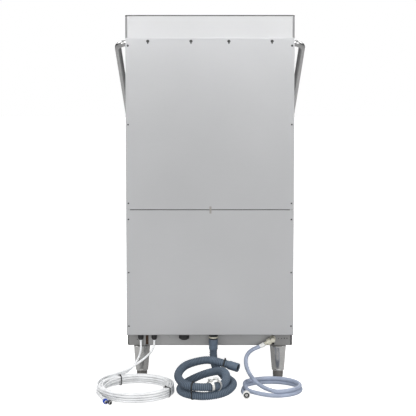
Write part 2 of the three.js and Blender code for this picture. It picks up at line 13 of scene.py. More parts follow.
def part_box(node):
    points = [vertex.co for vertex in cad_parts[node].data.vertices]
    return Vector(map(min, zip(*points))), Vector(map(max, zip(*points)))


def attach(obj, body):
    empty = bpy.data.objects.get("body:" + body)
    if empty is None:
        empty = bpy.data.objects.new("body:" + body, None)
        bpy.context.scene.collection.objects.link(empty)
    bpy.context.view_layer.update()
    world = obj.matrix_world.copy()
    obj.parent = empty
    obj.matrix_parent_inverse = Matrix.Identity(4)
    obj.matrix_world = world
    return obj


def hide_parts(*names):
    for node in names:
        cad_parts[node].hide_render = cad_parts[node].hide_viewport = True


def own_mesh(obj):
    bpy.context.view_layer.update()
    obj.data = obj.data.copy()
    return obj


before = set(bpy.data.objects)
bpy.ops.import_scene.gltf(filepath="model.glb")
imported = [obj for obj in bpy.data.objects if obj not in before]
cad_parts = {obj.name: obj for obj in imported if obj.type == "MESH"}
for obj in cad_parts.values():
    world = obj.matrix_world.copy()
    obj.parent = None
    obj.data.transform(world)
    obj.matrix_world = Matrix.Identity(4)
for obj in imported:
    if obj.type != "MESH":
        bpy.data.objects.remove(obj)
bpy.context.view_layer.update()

MM = 0.001
UP = (0, 0, 1)
REARWARD = (0, 1, 0)
SIDES = (("left", 1), ("right", -1))


def extent(node):
    """Lowest and highest corner of a CAD node, in millimetres."""
    low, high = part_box(node)
    return Vector(low) / MM, Vector(high) / MM


def middle(node):
    low, high = extent(node)
    return (low + high) / 2


# ---------------- camera, light and floor

PANEL_LOW, PANEL_HIGH = extent("rear_panel_upper")
BODY_HALF, REAR = PANEL_HIGH.x, PANEL_HIGH.y
CAMERA_DISTANCE = 4.0  # metres behind the rear covers
CAMERA_HEIGHT = 1.1
CAMERA_PITCH = math.radians(3.2)
LENS = 92.2
CAMERA_SHIFT = (-0.0047, -0.138)
# Lamps: place and target in metres, size, power, and the beam in degrees. One off the middle is a pair.
LAMPS = {
    "key_top": ((0, 1.9, 2.6), (0, 0.3, 1.4), (2.6, 0.6), 8.2, 50),
    "fill": ((2.7, 3.1, 1.7), (0, 0.2, 0.8), (1.0, 2.0), 32, 180),
    "low_fill": ((0, 1.9, 0.16), (0, 0.4, 0.2), (2.6, 0.3), 1.6, 120),
    "side_top": ((2.4, -0.2, 3.0), (0.3, -0.1, 0.8), (1.6, 1.6), 34, 180),
    "front_fill": ((0, -3.6, 2.3), (0, 0, 0.8), (3.0, 2.0), 90, 180),
}
# Brightness of the room from its front (-Y) to its service side (+Y), where the camera stands.
ROOM = ((-1.0, 0.14), (-0.55, 0.08), (0.2, 0.08), (0.75, 0.8), (1.0, 0.88))
CEILING = 0.55  # added overhead
CEILING_RISE = {"From Min": 0.06, "From Max": 0.9}  # where that starts and ends, as a view's upward share
FLOOR_REACH = 40.0  # metres each way
FLOOR_GLOW = (0.22, 0.93)  # towards the object, towards the camera


def link(made):
    bpy.context.scene.collection.objects.link(made)
    return made


def make_camera():
    data = bpy.data.cameras.new("camera")
    data.lens = LENS
    data.shift_x, data.shift_y = CAMERA_SHIFT
    camera = link(bpy.data.objects.new("camera", data))
    camera.location = (0, REAR * MM + CAMERA_DISTANCE, CAMERA_HEIGHT)
    camera.rotation_euler = (math.pi / 2 - CAMERA_PITCH, 0, math.pi)
    bpy.context.scene.camera = camera


def make_lamp(name, place, target, size, power, beam):
    data = bpy.data.lights.new(name, "AREA")
    data.shape = "RECTANGLE"
    data.size, data.size_y = size
    data.energy = power
    data.spread = math.radians(beam)
    lamp = link(bpy.data.objects.new(name, data))
    lamp.location = place
    lamp.rotation_euler = (target - place).to_track_quat("-Z", "Y").to_euler()
    lamp.visible_camera = False


def make_lamps():
    """Soft rectangular lamps that the camera doesn't see."""
    for name, (place, target, *rest) in LAMPS.items():
        for side, sign in SIDES if place[0] else (("middle", 1),):
            mirror = Vector((sign, 1, 1))
            make_lamp(f"{name}_{side}", Vector(place) * mirror, Vector(target) * mirror, *rest)


def new_node(tree, kind, **inputs):
    """A shader node whose inputs are values or other nodes' sockets."""
    made = tree.nodes.new(kind)
    for key, value in inputs.items():
        socket = made.inputs[key.replace("_", " ")]
        if isinstance(value, bpy.types.NodeSocket):
            tree.links.new(value, socket)
        else:
            socket.default_value = value
    return made


def make_sky():
    """A white backdrop for the camera; everything else is lit by a room with darker side walls."""
    world = bpy.data.worlds.new("studio")
    world.use_nodes = True
    tree = world.node_tree
    place = new_node(tree, "ShaderNodeTexCoord").outputs["Generated"]
    axes = new_node(tree, "ShaderNodeSeparateXYZ", Vector=place).outputs
    along = new_node(tree, "ShaderNodeMapRange", Value=axes["Y"], From_Min=-1)
    walls = new_node(tree, "ShaderNodeValToRGB", Fac=along.outputs[0])
    walls.color_ramp.interpolation = "EASE"
    stops = walls.color_ramp.elements
    while len(stops) < len(ROOM):
        stops.new(0.5)
    for stop, (y, tone) in zip(stops, ROOM):
        stop.position = (y + 1) / 2
        stop.color = (tone, tone, tone, 1)
    ceiling = new_node(tree, "ShaderNodeMapRange", Value=axes["Z"], To_Max=CEILING)
    for name, height in CEILING_RISE.items():
        ceiling.inputs[name].default_value = height
    ceiling.interpolation_type = "SMOOTHSTEP"
    room = new_node(tree, "ShaderNodeMath")
    room.operation = "ADD"
    tree.links.new(walls.outputs[0], room.inputs[0])
    tree.links.new(ceiling.outputs[0], room.inputs[1])
    lit = tree.nodes["Background"]
    tree.links.new(room.outputs[0], lit.inputs["Strength"])
    seen = new_node(tree, "ShaderNodeBackground")
    camera_ray = new_node(tree, "ShaderNodeLightPath").outputs["Is Camera Ray"]
    mix = new_node(tree, "ShaderNodeMixShader", Fac=camera_ray)
    for i, sky in enumerate((lit, seen), 1):
        sky.inputs["Color"].default_value = (1, 1, 1, 1)
        tree.links.new(sky.outputs[0], mix.inputs[i])
    tree.links.new(mix.outputs[0], tree.nodes["World Output"].inputs["Surface"])
    bpy.context.scene.world = world
    bpy.context.scene.view_settings.view_transform = "Standard"


def make_floor():
    mesh = bpy.data.meshes.new("floor")
    ends = ((-1, -1), (1, -1), (1, 1), (-1, 1))
    mesh.from_pydata([(x * FLOOR_REACH, y * FLOOR_REACH, 0) for x, y in ends], [], [(0, 1, 2, 3)])
    mesh.materials.append(MATERIALS["floor"])
    link(bpy.data.objects.new("floor", mesh))


# ---------------- materials

class Surface:
    """A Principled material whose colour, roughness and bump come from small node networks."""

    def __init__(self, name, color, roughness, metallic=0.0, **sockets):
        self.material = bpy.data.materials.new(name)
        self.material.use_nodes = True
        self.tree = self.material.node_tree
        self.color = color
        self.shader = self.tree.nodes["Principled BSDF"].inputs
        self.shader["Base Color"].default_value = (*color, 1)
        self.shader["Roughness"].default_value = roughness
        self.shader["Metallic"].default_value = metallic
        for socket, value in sockets.items():
            self.shader[socket.replace("_", " ")].default_value = value
        self.place = self.node("ShaderNodeTexCoord").outputs["Object"]

    def node(self, kind, **inputs):
        return new_node(self.tree, kind, **inputs)

    def noise(self, scale, stretch=(1, 1, 1), detail=3.0):
        """A grey noise of so many waves per metre, squeezed by stretch along each axis."""
        mapping = self.node("ShaderNodeMapping", Vector=self.place, Scale=stretch)
        made = self.node("ShaderNodeTexNoise", Vector=mapping.outputs[0], Scale=scale, Detail=detail)
        return made.outputs["Fac"]

    def spread(self, value, low, high, first=0.3, last=0.7):
        """The value's range first..last mapped to low..high."""
        made = self.node(
            "ShaderNodeMapRange", Value=value, From_Min=first, From_Max=last, To_Min=low, To_Max=high,
        )
        return made.outputs[0]

    def add(self, first, second, weight):
        """first + second * weight, both grey."""
        made = self.node("ShaderNodeMath", Value=second)
        made.operation = "MULTIPLY_ADD"
        made.inputs[1].default_value = weight
        self.tree.links.new(first, made.inputs[2])
        return made.outputs[0]

    def tint(self, value, dark, light):
        """The colour runs from the material's own colour times dark to its colour times light."""
        mix = self.node("ShaderNodeMix", Factor=value)
        mix.data_type = "RGBA"
        ends = [socket for socket in mix.inputs if socket.type == "RGBA"]
        for socket, gain in zip(ends, (dark, light)):
            socket.default_value = (*(min(1.0, part * gain) for part in self.color), 1)
        result = next(socket for socket in mix.outputs if socket.type == "RGBA")
        self.tree.links.new(result, self.shader["Base Color"])

    def rough(self, value, low, high):
        self.tree.links.new(self.spread(value, low, high), self.shader["Roughness"])

    def bump(self, height, distance, strength):
        made = self.node("ShaderNodeBump", Height=height, Distance=distance, Strength=strength)
        self.tree.links.new(made.outputs[0], self.shader["Normal"])


EVEN = (1, 1, 1)
GRAIN_X = (0.02, 1, 1)  # brushing that runs along X
GRAIN_Y = (1, 0.02, 1)
GRAIN_Z = (1, 1, 0.02)


def brushed(name, color, roughness, grain=GRAIN_X):
    """Sheet steel with fine brushing, hand marks and slow changes of tone."""
    made = Surface(name, color, roughness, 1.0)
    lines = made.noise(900, grain, 2.0)
    cloud = made.noise(2.2, detail=2.0)
    smears = made.noise(11, (1, 1, 0.5), 4.0)
    made.tint(made.spread(made.add(cloud, lines, 0.25), 0, 1, 0.4, 0.85), 0.95, 1.04)
    made.rough(made.add(lines, smears, 0.6), roughness - 0.07, roughness + 0.09)
    made.bump(lines, 0.00005, 0.35)
    return made.material


def worn(name, color, roughness, metallic, fine, patches, weight, tones, gloss, relief):
    """A surface with a fine grain under slow patches; noises are (scale, stretch, detail)."""
    made = Surface(name, color, roughness, metallic)
    grain, wear = made.noise(*fine), made.noise(*patches)
    made.tint(made.spread(wear, 0, 1), *tones)
    made.rough(made.add(wear, grain, weight), roughness - gloss[0], roughness + gloss[1])
    made.bump(grain, *relief)
    return made.material


def polished(name, color, roughness):
    """Bright tube or turned steel with faint scratches and water marks."""
    scratches, marks = (700, (1, 1, 0.15), 3.0), (35, EVEN, 4.0)
    return worn(name, color, roughness, 1.0, scratches, marks, 0.4, (0.9, 1.03), (0.04, 0.1), (0.00003, 0.25))


def cast(name, color, roughness, metallic, grain=420, depth=0.0002):
    """Cast or painted metal with a pebbled skin and worn, dusty patches."""
    pebbles, dirt = (grain, EVEN, 4.0), (18, EVEN, 5.0)
    return worn(name, color, roughness, metallic, pebbles, dirt, 0.3, (0.78, 1.1), (0.08, 0.14), (depth, 0.5))


def plastic(name, color, roughness, grain=1400, depth=0.00006):
    """Moulded plastic or rubber with a fine eroded grain and slightly uneven gloss."""
    pores, wear = (grain, EVEN, 2.0), (24, EVEN, 4.0)
    return worn(name, color, roughness, 0.0, pores, wear, 0.3, (0.88, 1.08), (0.08, 0.12), (depth, 0.4))


def studio_floor():
    """A white floor that glows a little, more to the eye than on the object, so shadows stay pale."""
    made = Surface("floor", (0.38, 0.38, 0.38), 0.75, Emission_Color=(1, 1, 1, 1))
    seen = made.node("ShaderNodeLightPath").outputs["Is Camera Ray"]
    made.tree.links.new(made.spread(seen, *FLOOR_GLOW, 0, 1), made.shader["Emission Strength"])
    made.bump(made.noise(40, detail=4.0), 0.0002, 0.15)
    made.rough(made.noise(6), 0.68, 0.82)
    return made.material


MATERIALS = {
    "floor": studio_floor(),
    "panel": brushed("brushed_panel", (0.44, 0.443, 0.451), 0.42),
    "hood": brushed("brushed_hood", (0.455, 0.457, 0.462), 0.4),
    "side": brushed("brushed_side", (0.5, 0.503, 0.51), 0.4, GRAIN_Y),
    "chamber": brushed("chamber_steel", (0.6, 0.605, 0.61), 0.3),
    "rail": brushed("rail_steel", (0.36, 0.36, 0.36), 0.45),
    "rail_dark": brushed("rail_dark_steel", (0.27, 0.268, 0.265), 0.45),
    "clip": brushed("clip_steel", (0.33, 0.32, 0.3), 0.4, GRAIN_Z),
    "tube": polished("polished_tube", (0.38, 0.38, 0.38), 0.14),
    "leg": polished("polished_leg", (0.55, 0.545, 0.535), 0.12),
    "screw": polished("screw_steel", (0.32, 0.32, 0.32), 0.3),
    "clamp": polished("clamp_steel", (0.82, 0.82, 0.8), 0.28),
    # Dark brown steel: painted shade of the gap in the base rail's slot.
    "slot_shade": cast("brown_slot_shade", (0.1, 0.06, 0.04), 0.65, 0.4),
    "heater": cast("heater_sheath", (0.16, 0.14, 0.12), 0.45, 0.8),
    "foot": cast("foot_steel", (0.22, 0.21, 0.2), 0.42, 0.95, 300),
    "edge": cast("shadow_edge", (0.06, 0.06, 0.06), 0.5, 0.6),
    "zinc": cast("zinc_steel", (0.5, 0.5, 0.48), 0.4, 1.0, 260),
    "aluminium": cast("cast_aluminium", (0.55, 0.56, 0.57), 0.5, 1.0, 240, 0.0003),
    "grey": cast("grey_enamel", (0.28, 0.29, 0.3), 0.42, 0.0),
    "rubber": plastic("black_rubber", (0.012, 0.012, 0.013), 0.55),
    "black": plastic("black_plastic", (0.02, 0.021, 0.023), 0.42),
    "glass": plastic("display_glass", (0.01, 0.012, 0.015), 0.12),
    "lit": plastic("display_segments", (0.75, 0.2, 0.05), 0.3),
    "blue": plastic("blue_plastic", (0.008, 0.05, 0.36), 0.6),
    "cream": plastic("cream_plastic", (0.56, 0.54, 0.45), 0.38),
    "white": plastic("white_plastic", (0.8, 0.8, 0.78), 0.35),
    "drain": plastic("drain_hose", (0.098, 0.134, 0.182), 0.55, 900),
    # Darker hose colour for the corrugation grooves: painted shade in them.
    "groove_shade": plastic("drain_groove_shade", (0.05, 0.07, 0.098), 0.6, 900),
    "cuff": plastic("drain_cuff", (0.085, 0.118, 0.165), 0.42, 900),
    "inlet": plastic("inlet_hose", (0.31, 0.355, 0.46), 0.36, 900),
    "dosing": plastic("dosing_tube", (0.78, 0.79, 0.8), 0.34, 800),
    "wrap": plastic("insulation_wrap", (0.5, 0.43, 0.3), 0.85, 500, 0.0004),
}

# ---------------- mesh code


def turn_to(direction):
    """The rotation that takes +Z to a direction."""
    return Vector(UP).rotation_difference(Vector(direction)).to_matrix().to_4x4()


def spun(centre, k, count, axis="Z"):
    """The k-th of count even turns about an axis through a centre."""
    return Matrix.Translation(centre) @ Matrix.Rotation(2 * math.pi * k / count, 4, axis)


def circle(radius, sides, centre, matrix):
    turns = (2 * math.pi * i / sides for i in range(sides))
    return [centre + matrix @ Vector((radius * math.cos(a), radius * math.sin(a), 0)) for a in turns]


def arc(centre, radius, first, last, steps=5):
    """Points of an arc in a plane, angles in degrees."""
    turns = (math.radians(first + (last - first) * i / steps) for i in range(steps + 1))
    return [(centre[0] + radius * math.cos(a), centre[1] + radius * math.sin(a)) for a in turns]


def rounded_outline(box, grow, z, steps=8):
    """A box of (half width, front, rear, corner radius), grown evenly, anticlockwise at height z."""
    half, front, rear, corner = box
    corner = max(corner + grow, 0.3)
    x, near, far = half + grow - corner, front - grow + corner, rear + grow - corner
    points = []
    for quarter, centre in enumerate(((x, far), (-x, far), (-x, near), (x, near))):
        points += arc(centre, corner, 90 * quarter, 90 * quarter + 90, steps)
    return [Vector((*point, z)) for point in points]


class Shape:
    """A mesh in millimetres, put together from simple forms; each form gives back the shape."""

    def __init__(self):
        self.bm = bmesh.new()

    def skin(self, loops, closed=False):
        """A surface through loops of points, capped, or closed from the last loop to the first."""
        rings = [[self.bm.verts.new(point) for point in loop] for loop in loops]
        pairs = list(zip(rings, rings[1:]))
        if closed:
            pairs.append((rings[-1], rings[0]))
        for first, second in pairs:
            for i in range(len(first)):
                j = (i + 1) % len(first)
                self.bm.faces.new((first[i], first[j], second[j], second[i]))
        if not closed:
            self.bm.faces.new(rings[0][::-1])
            self.bm.faces.new(rings[-1])
        return self

    def lathe(self, profile, centre=(0, 0, 0), axis=UP, sides=32, closed=False):
        """A profile of (radius, height) turned about an axis; a closed profile makes a ring."""
        matrix, along = turn_to(axis), Vector(axis).normalized()
        return self.skin([
            circle(max(radius, 0.02), sides, Vector(centre) + along * height, matrix)
            for radius, height in profile
        ], closed)

    def pipe(self, outer, inner, start, end, centre, axis=UP, edge=0.6, sides=32):
        """A ring or sleeve from start to end along an axis, with eased edges."""
        return self.lathe([
            (inner, start + edge), (inner + edge, start), (outer - edge, start), (outer, start + edge),
            (outer, end - edge), (outer - edge, end), (inner + edge, end), (inner, end - edge),
        ], centre, axis, sides, True)

    def block(self, first, second, edge=0.8, segments=2, matrix=None):
        """A box between two opposite corners, with rounded edges."""
        low = Vector([min(pair) for pair in zip(first, second)])
        high = Vector([max(pair) for pair in zip(first, second)])
        verts = bmesh.ops.create_cube(self.bm, size=1.0)["verts"]
        bmesh.ops.scale(self.bm, vec=high - low, verts=verts)
        bmesh.ops.translate(self.bm, vec=(low + high) / 2, verts=verts)
        done = bmesh.ops.bevel(
            self.bm, geom=list(dict.fromkeys(e for v in verts for e in v.link_edges)),
            offset=min(edge, 0.45 * min(high - low)), segments=segments, profile=0.5, affect="EDGES",
        )
        if matrix is not None:
            moved = dict.fromkeys(v for f in done["faces"] for v in f.verts)
            bmesh.ops.transform(self.bm, matrix=matrix, verts=list(moved))
        return self

    def folded(self, profile, start, end):
        """A bent sheet: its cross-section in the YZ plane, run along X from start to end."""
        return self.skin([[Vector((x, y, z)) for y, z in profile] for x in (start, end)])

    def sweep(self, path, radius, sides):
        """A tube along a path; radius is a number or a function of the distance along it."""
        measure = radius if callable(radius) else (lambda distance: radius)
        side = tangent_at(path, 0).orthogonal().normalized()
        turns = [2 * math.pi * k / sides for k in range(sides)]
        walked = 0.0
        loops = []
        for i, point in enumerate(path):
            tangent = tangent_at(path, i)
            side = (side - tangent * side.dot(tangent)).normalized()
            across = tangent.cross(side)
            if i:
                walked += (point - path[i - 1]).length
            size = measure(walked)
            loops.append([point + (side * math.cos(a) + across * math.sin(a)) * size for a in turns])
        return self.skin(loops)

    def band(self, loop, along, width, thick):
        """A flat strap round a closed loop of points that lie in the plane across `along`."""
        half = Vector(along).normalized() * width / 2
        centre = sum(loop, Vector()) / len(loop)
        outer = [p + (p - centre).normalized() * thick for p in loop]
        layers = ((loop, -half), (outer, -half), (outer, half), (loop, half))
        return self.skin([[p + shift for p in points] for points, shift in layers], True)

    def screw(self, place, axis, radius, high):
        """A domed screw head with a hexagonal socket, standing on a sheet at a place."""
        dome = [(radius * x, high * y) for x, y in arc((0, 0), 1.0, 8, 62)]
        socket = [(radius * 0.42, high * 0.88), (radius * 0.4, high * 0.25), (0, high * 0.25)]
        return self.lathe([(0, -0.2), (radius, -0.2), *dome, *socket], place, axis, 18)

    def bolt(self, place, axis, across, high):
        """A hexagonal bolt head on a washer."""
        self.lathe([(0, -0.1), (across * 0.8, -0.1), (across * 0.8, 1.0), (0, 1.0)], place, axis, 24)
        flank, crown = across * 0.56, across * 0.46
        head = [(0, 0.9), (flank, 0.9), (flank, high), (crown, high + 0.5), (0, high + 0.5)]
        return self.lathe(head, place, axis, 6)

    def perforated(self, low, high, holes):
        """A plate along X and Z with round holes, given as (x, z, radius)."""
        drills = Shape()
        for x, z, radius in holes:
            place = (x, (low[1] + high[1]) / 2, z)
            drills.lathe([(0, -6), (radius, -6), (radius, 6), (0, 6)], place, REARWARD, 12)
        plate = solid("plate", Shape().block(low, high, 0.3, 1))
        drill = solid("drill", drills)
        cutter = plate.modifiers.new("holes", "BOOLEAN")
        cutter.operation = "DIFFERENCE"
        cutter.solver = "EXACT"
        cutter.object = drill
        graph = bpy.context.evaluated_depsgraph_get()
        self.bm.from_mesh(bpy.data.meshes.new_from_object(plate.evaluated_get(graph)))
        for extra in (plate, drill):
            bpy.data.objects.remove(extra)
        return self


def solid(name, shape):
    """A new object with a shape's mesh."""
    mesh = bpy.data.meshes.new(name)
    shape.bm.to_mesh(mesh)
    shape.bm.free()
    return link(bpy.data.objects.new(name, mesh))


def piece(name, shape, material, body="body", replaces=None, sharp=35, even=True):
    """The finished shape as a named object that rides on a body; even keeps large flat faces flat."""
    bmesh.ops.scale(shape.bm, vec=(MM, MM, MM), verts=shape.bm.verts)
    bmesh.ops.recalc_face_normals(shape.bm, faces=shape.bm.faces)
    made = solid(name, shape)
    made.data.shade_smooth()
    made.data.set_sharp_from_angle(angle=math.radians(sharp))
    made.data.materials.append(MATERIALS[material])
    if even:
        made.modifiers.new("even_normals", "WEIGHTED_NORMAL").keep_sharp = True
    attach(made, body)
    if replaces:
        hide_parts(replaces)
    return made


def tangent_at(path, i):
    return (path[min(i + 1, len(path) - 1)] - path[max(i - 1, 0)]).normalized()


def length_of(points):
    return sum((b - a).length for a, b in zip(points, points[1:]))


def spaced(points, step):
    """The same polyline with points an even step apart, both ends kept."""
    total = length_of(points)
    count = max(1, round(total / step))
    gap = total / count
    result = [points[0].copy()]
    walked, target = 0.0, gap
    for a, b in zip(points, points[1:]):
        reach = (b - a).length
        while reach > 0 and target <= walked + reach + 1e-6 and len(result) < count:
            result.append(a.lerp(b, (target - walked) / reach))
            target += gap
        walked += reach
    return result + [points[-1].copy()]


def curve_through(points, step):
    """Evenly spaced points on a smooth curve through given ones."""
    ends = [2 * points[0] - points[1], *points, 2 * points[-1] - points[-2]]
    fine = []
    for a, b, c, d in zip(ends, ends[1:], ends[2:], ends[3:]):
        count = max(4, int((c - b).length / 2.0))
        for t in (i / count for i in range(count)):
            fine.append(
                0.5 * (2 * b + (c - a) * t + (2 * a - 5 * b + 4 * c - d) * t ** 2
                       + (3 * b - a - 3 * c + d) * t ** 3)
            )
    return spaced(fine + [points[-1]], step)


def around(strands, axis, clearance, sides=28):
    """A taut loop round strands of (point, radius): the corners of the lines that touch them."""
    axis = Vector(axis).normalized()
    centre = sum((p for p, _ in strands), Vector()) / len(strands)
    across = axis.orthogonal().normalized()
    rise = axis.cross(across)
    lines = []
    for k in range(sides):
        angle = 2 * math.pi * k / sides
        way = across * math.cos(angle) + rise * math.sin(angle)
        lines.append((way, clearance + max((p - centre).dot(way) + radius for p, radius in strands)))
    return [
        centre + (u.cross(axis) * b - v.cross(axis) * a) / axis.dot(u.cross(v))
        for (u, a), (v, b) in zip(lines, lines[1:] + lines[:1])
    ]


# ---------------- hood and covers

HOOD_LOW, HOOD_HIGH = extent("hood_shell")
HOOD_FRONT, HOOD_REAR, HOOD_TOP = HOOD_LOW.y, HOOD_HIGH.y, HOOD_HIGH.z
HOOD_WALL = 2.0
HOOD_EDGE = 5.0
HOOD_HALF = 325.0  # the roller rails stand a little further out
HOOD_BOX = (HOOD_HALF, HOOD_FRONT, HOOD_REAR, 16.0)
RAIL_FRONT, RAIL_REAR = -178.0, -74.0
RAIL_MIDDLE = 1062.3
RAIL_LIP = 19.5  # from the rail's middle to the middle of each lip


def hood_loops(inset, high):
    """Outlines of the hood's box with rounded top edges, inset evenly."""
    edge = HOOD_EDGE - inset
    levels = [(0, HOOD_LOW.z)] + [(edge - x, high - edge + y) for x, y in arc((0, 0), edge, 0, 90)]
    return [rounded_outline(HOOD_BOX, -inset - away, z) for away, z in levels]


def make_hood():
    """The hood's box, the roller rails on its sides, the seam round its top, drawn near-black as painted
    shade on the rounded top edge, and its inner fixings.
    """
    inner = hood_loops(HOOD_WALL, HOOD_TOP - HOOD_WALL)
    shell = Shape().skin(inner[::-1] + hood_loops(0, HOOD_TOP))
    piece("hood", shell, "hood", "hood", replaces="hood_shell")

    rails = Shape()
    for _, sign in SIDES:
        for rise, reach, half in ((0, 1.5, 21), (-RAIL_LIP, 11, 1.5), (RAIL_LIP, 11, 1.5)):
            z = RAIL_MIDDLE + rise
            rails.block((sign * (HOOD_HALF - 0.2), RAIL_FRONT, z - half),
                        (sign * (HOOD_HALF + reach), RAIL_REAR, z + half), 0.5)
        for y in (RAIL_FRONT + 10, RAIL_REAR - 10):
            rails.screw((sign * (HOOD_HALF + 1.4), y, RAIL_MIDDLE), (sign, 0, 0), 3.0, 1.6)
    piece("hood_roller_rails", rails, "tube", "hood")

    # A near-black band over the hood's rounded top edge: painted shade along that edge.
    levels = ((0.35, -4.2), (0.35, -0.2), (-HOOD_EDGE, 0.3), (-HOOD_EDGE - 2, -0.5))
    seam = Shape().skin([rounded_outline(HOOD_BOX, away, HOOD_TOP + z) for away, z in levels], True)
    piece("hood_top_seam_shade", seam, "edge", "hood")

    fixings = Shape()
    for _, sign in SIDES:
        for y in (HOOD_FRONT + 40, HOOD_REAR - 40):
            for x in (HOOD_HALF - 60, HOOD_HALF - 90):
                fixings.bolt((sign * x, y, HOOD_TOP - HOOD_WALL), (0, 0, -1), 6, 3)
    for x in (-200, -70, 70, 200):
        fixings.block((x - 12, HOOD_REAR - 3.2, HOOD_LOW.z + 8),
                      (x + 12, HOOD_REAR - 1.8, HOOD_LOW.z + 60), 0.5)
    piece("hood_inner_fixings", fixings, "screw", "hood")


LOWER_LOW, LOWER_HIGH = extent("rear_panel_lower")
SHEET = 1.7
BEND = 3.0
LIP = 14.0  # the lower cover's fold under the machine
TOP_SCREWS = (0.735, 0.224)  # of the half width
EDGE_SCREWS = {"upper": (1269.5, 974, 677), "lower": (616, 414, 209)}
HIGH_SCREWS = 1200.0  # the screws above this are larger
SCREW_INSET = 9.0


def cover_profile(which, low, high):
    """A rear cover's section: eased edges, and a fold under the foot of the lower one."""
    inner, lip = REAR - SHEET, REAR - LIP
    if which == "upper":
        foot = [(inner, low), *arc((REAR - 0.8, low + 0.8), 0.8, -90, 0, 3)]
    else:
        foot = [(inner, low + BEND), (inner - 0.4, low + SHEET + 0.6), (inner - 1.3, low + SHEET)]
        foot += [(lip, low + SHEET), (lip, low), *arc((REAR - BEND, low + BEND), BEND, -90, 0)]
    return [*foot, *arc((REAR - 0.8, high - 0.8), 0.8, 0, 90, 3), (inner, high)]


def make_rear_covers():
    """The two rear covers with their screws, and the clip on the seam."""
    for which, low, high in (("upper", PANEL_LOW.z, PANEL_HIGH.z), ("lower", LOWER_LOW.z, LOWER_HIGH.z)):
        sheet = Shape().folded(cover_profile(which, low, high), -BODY_HALF, BODY_HALF)
        piece(f"rear_cover_{which}", sheet, "panel", replaces=f"rear_panel_{which}", sharp=50)
        screws = Shape()
        for z in EDGE_SCREWS[which]:
            for _, sign in SIDES:
                place = (sign * (BODY_HALF - SCREW_INSET), REAR, z)
                screws.screw(place, REARWARD, 4.4 if z > HIGH_SCREWS else 3.2, 1.6)
        for x in (sign * share * BODY_HALF for share in TOP_SCREWS for _, sign in SIDES):
            if which == "upper":
                screws.screw((x, REAR, high - 12), REARWARD, 6.0, 3.6)
                screws.block((x - 2.2, REAR - 0.1, high - 22), (x + 2.2, REAR + 0.7, high - 16), 0.3, 1)
        piece(f"rear_cover_{which}_screws", screws, "edge")

    seam = (PANEL_LOW.z + LOWER_HIGH.z) / 2
    clip = Shape().block((-6, REAR - 0.1, seam - 14), (2, REAR + 1.1, seam + 13), 0.5)
    piece("seam_clip", clip.screw((-2, REAR + 1, seam + 8), REARWARD, 2.0, 1.0), "clip")
    half = BODY_HALF - 15
    gap = ((-half, REAR - 2.0, LOWER_HIGH.z + 0.2), (half, REAR - 0.9, PANEL_LOW.z - 0.2))
    piece("seam_shadow_gap", Shape().block(*gap, 0.2), "edge")


def make_side_covers():
    """Flat side covers with their screws."""
    for side, sign in SIDES:
        low, high = extent(f"side_panel_{side}")
        outer = sign * BODY_HALF
        sheet = Shape().block((outer - sign * 2, low.y, low.z), (outer, high.y, high.z), 0.9, 3)
        piece(f"side_cover_{side}", sheet, "side", replaces=f"side_panel_{side}")
        screws = Shape()
        for y in (low.y + 14, high.y - 14):
            for z in (low.z + 30, (low.z + high.z) / 2, high.z - 60):
                screws.screw((outer, y, z), (sign, 0, 0), 3.2, 1.6)
        piece(f"side_cover_{side}_screws", screws, "screw")


def make_front():
    """The front cover with its screws, and the louvres that stand on it."""
    low, high = extent("front_panel")
    piece("front_cover", Shape().block(low, high, 0.9, 3), "panel", replaces="front_panel")
    louvres = Shape()
    for x in (-90, 90):
        for z in (low.z + 40 + 11 * row for row in range(8)):
            y = low.y
            louvres.folded([(y + 0.1, z), (y - 3.2, z + 0.8), (y - 3.0, z + 1.6), (y + 0.1, z + 7)],
                           x - 60, x + 60)
    piece("front_louvres", louvres, "rail")
    screws = Shape()
    for _, sign in SIDES:
        for z in (low.z + 22, high.z - 22):
            screws.screw((sign * (high.x - 16), low.y, z), (0, -1, 0), 3.4, 1.8)
    piece("front_cover_screws", screws, "screw")


DISPLAY = -105  # the middle of the display, across
DISPLAY_BOX = (145, -24, 24, 4)
DIGITS = (-225, -180, -135)


def make_controls():
    """The control panel's display with its frame and digits, and the three buttons in their rings."""
    fascia = extent("control_panel")[0].y
    z = middle("button_cycle").z
    rim = Shape().skin([
        [Vector((DISPLAY + p.x, fascia + depth, z + p.y)) for p in rounded_outline(DISPLAY_BOX, grow, 0, 5)]
        for grow, depth in ((0, 0.1), (0, -1.6), (2.5, -2.2), (5, -1.4), (5, 0.1))
    ], True)
    piece("display_frame", rim, "black")
    half, low, high, _ = DISPLAY_BOX
    glass = ((DISPLAY - half, fascia - 0.9, z + low), (DISPLAY + half, fascia - 0.05, z + high))
    piece("display_window", Shape().block(*glass, 0.3), "glass")
    digits = Shape()
    bars = [(0, rise, 6, 1.6) for rise in (-14, 0, 14)]
    bars += [(across, rise, 1.6, 6) for across in (-6, 6) for rise in (-7, 7)]
    for x in DIGITS:
        for across, rise, wide, tall in bars:
            digits.block((x + across - wide, fascia - 1.1, z + rise - tall),
                         (x + across + wide, fascia - 0.85, z + rise + tall), 0.1, 1)
    piece("display_segments", digits, "lit")

    for use in ("power", "cycle", "start"):
        low, high = extent(f"button_{use}")
        x, radius, long = (low.x + high.x) / 2, (high.x - low.x) / 2, high.y - low.y
        ring = Shape().pipe(radius + 4, radius + 0.5, -0.1, 1.6, (x, fascia, z), (0, -1, 0), 0.5)
        piece(f"button_ring_{use}", ring, "screw")
        cap = Shape().lathe([
            (0, 0), (radius, 0), (radius, long - 1.6), (radius - 0.5, long - 0.6), (radius - 1.6, long),
            (radius * 0.55, long - 0.1), (radius * 0.5, long - 0.7), (0, long - 0.9),
        ], (x, high.y, z), (0, -1, 0), 36)
        piece(f"button_cap_{use}", cap, "black", f"button_{use}", replaces=f"button_{use}")


# ---------------- base, legs and feet

BASE_LOW, BASE_HIGH = extent("base_frame")
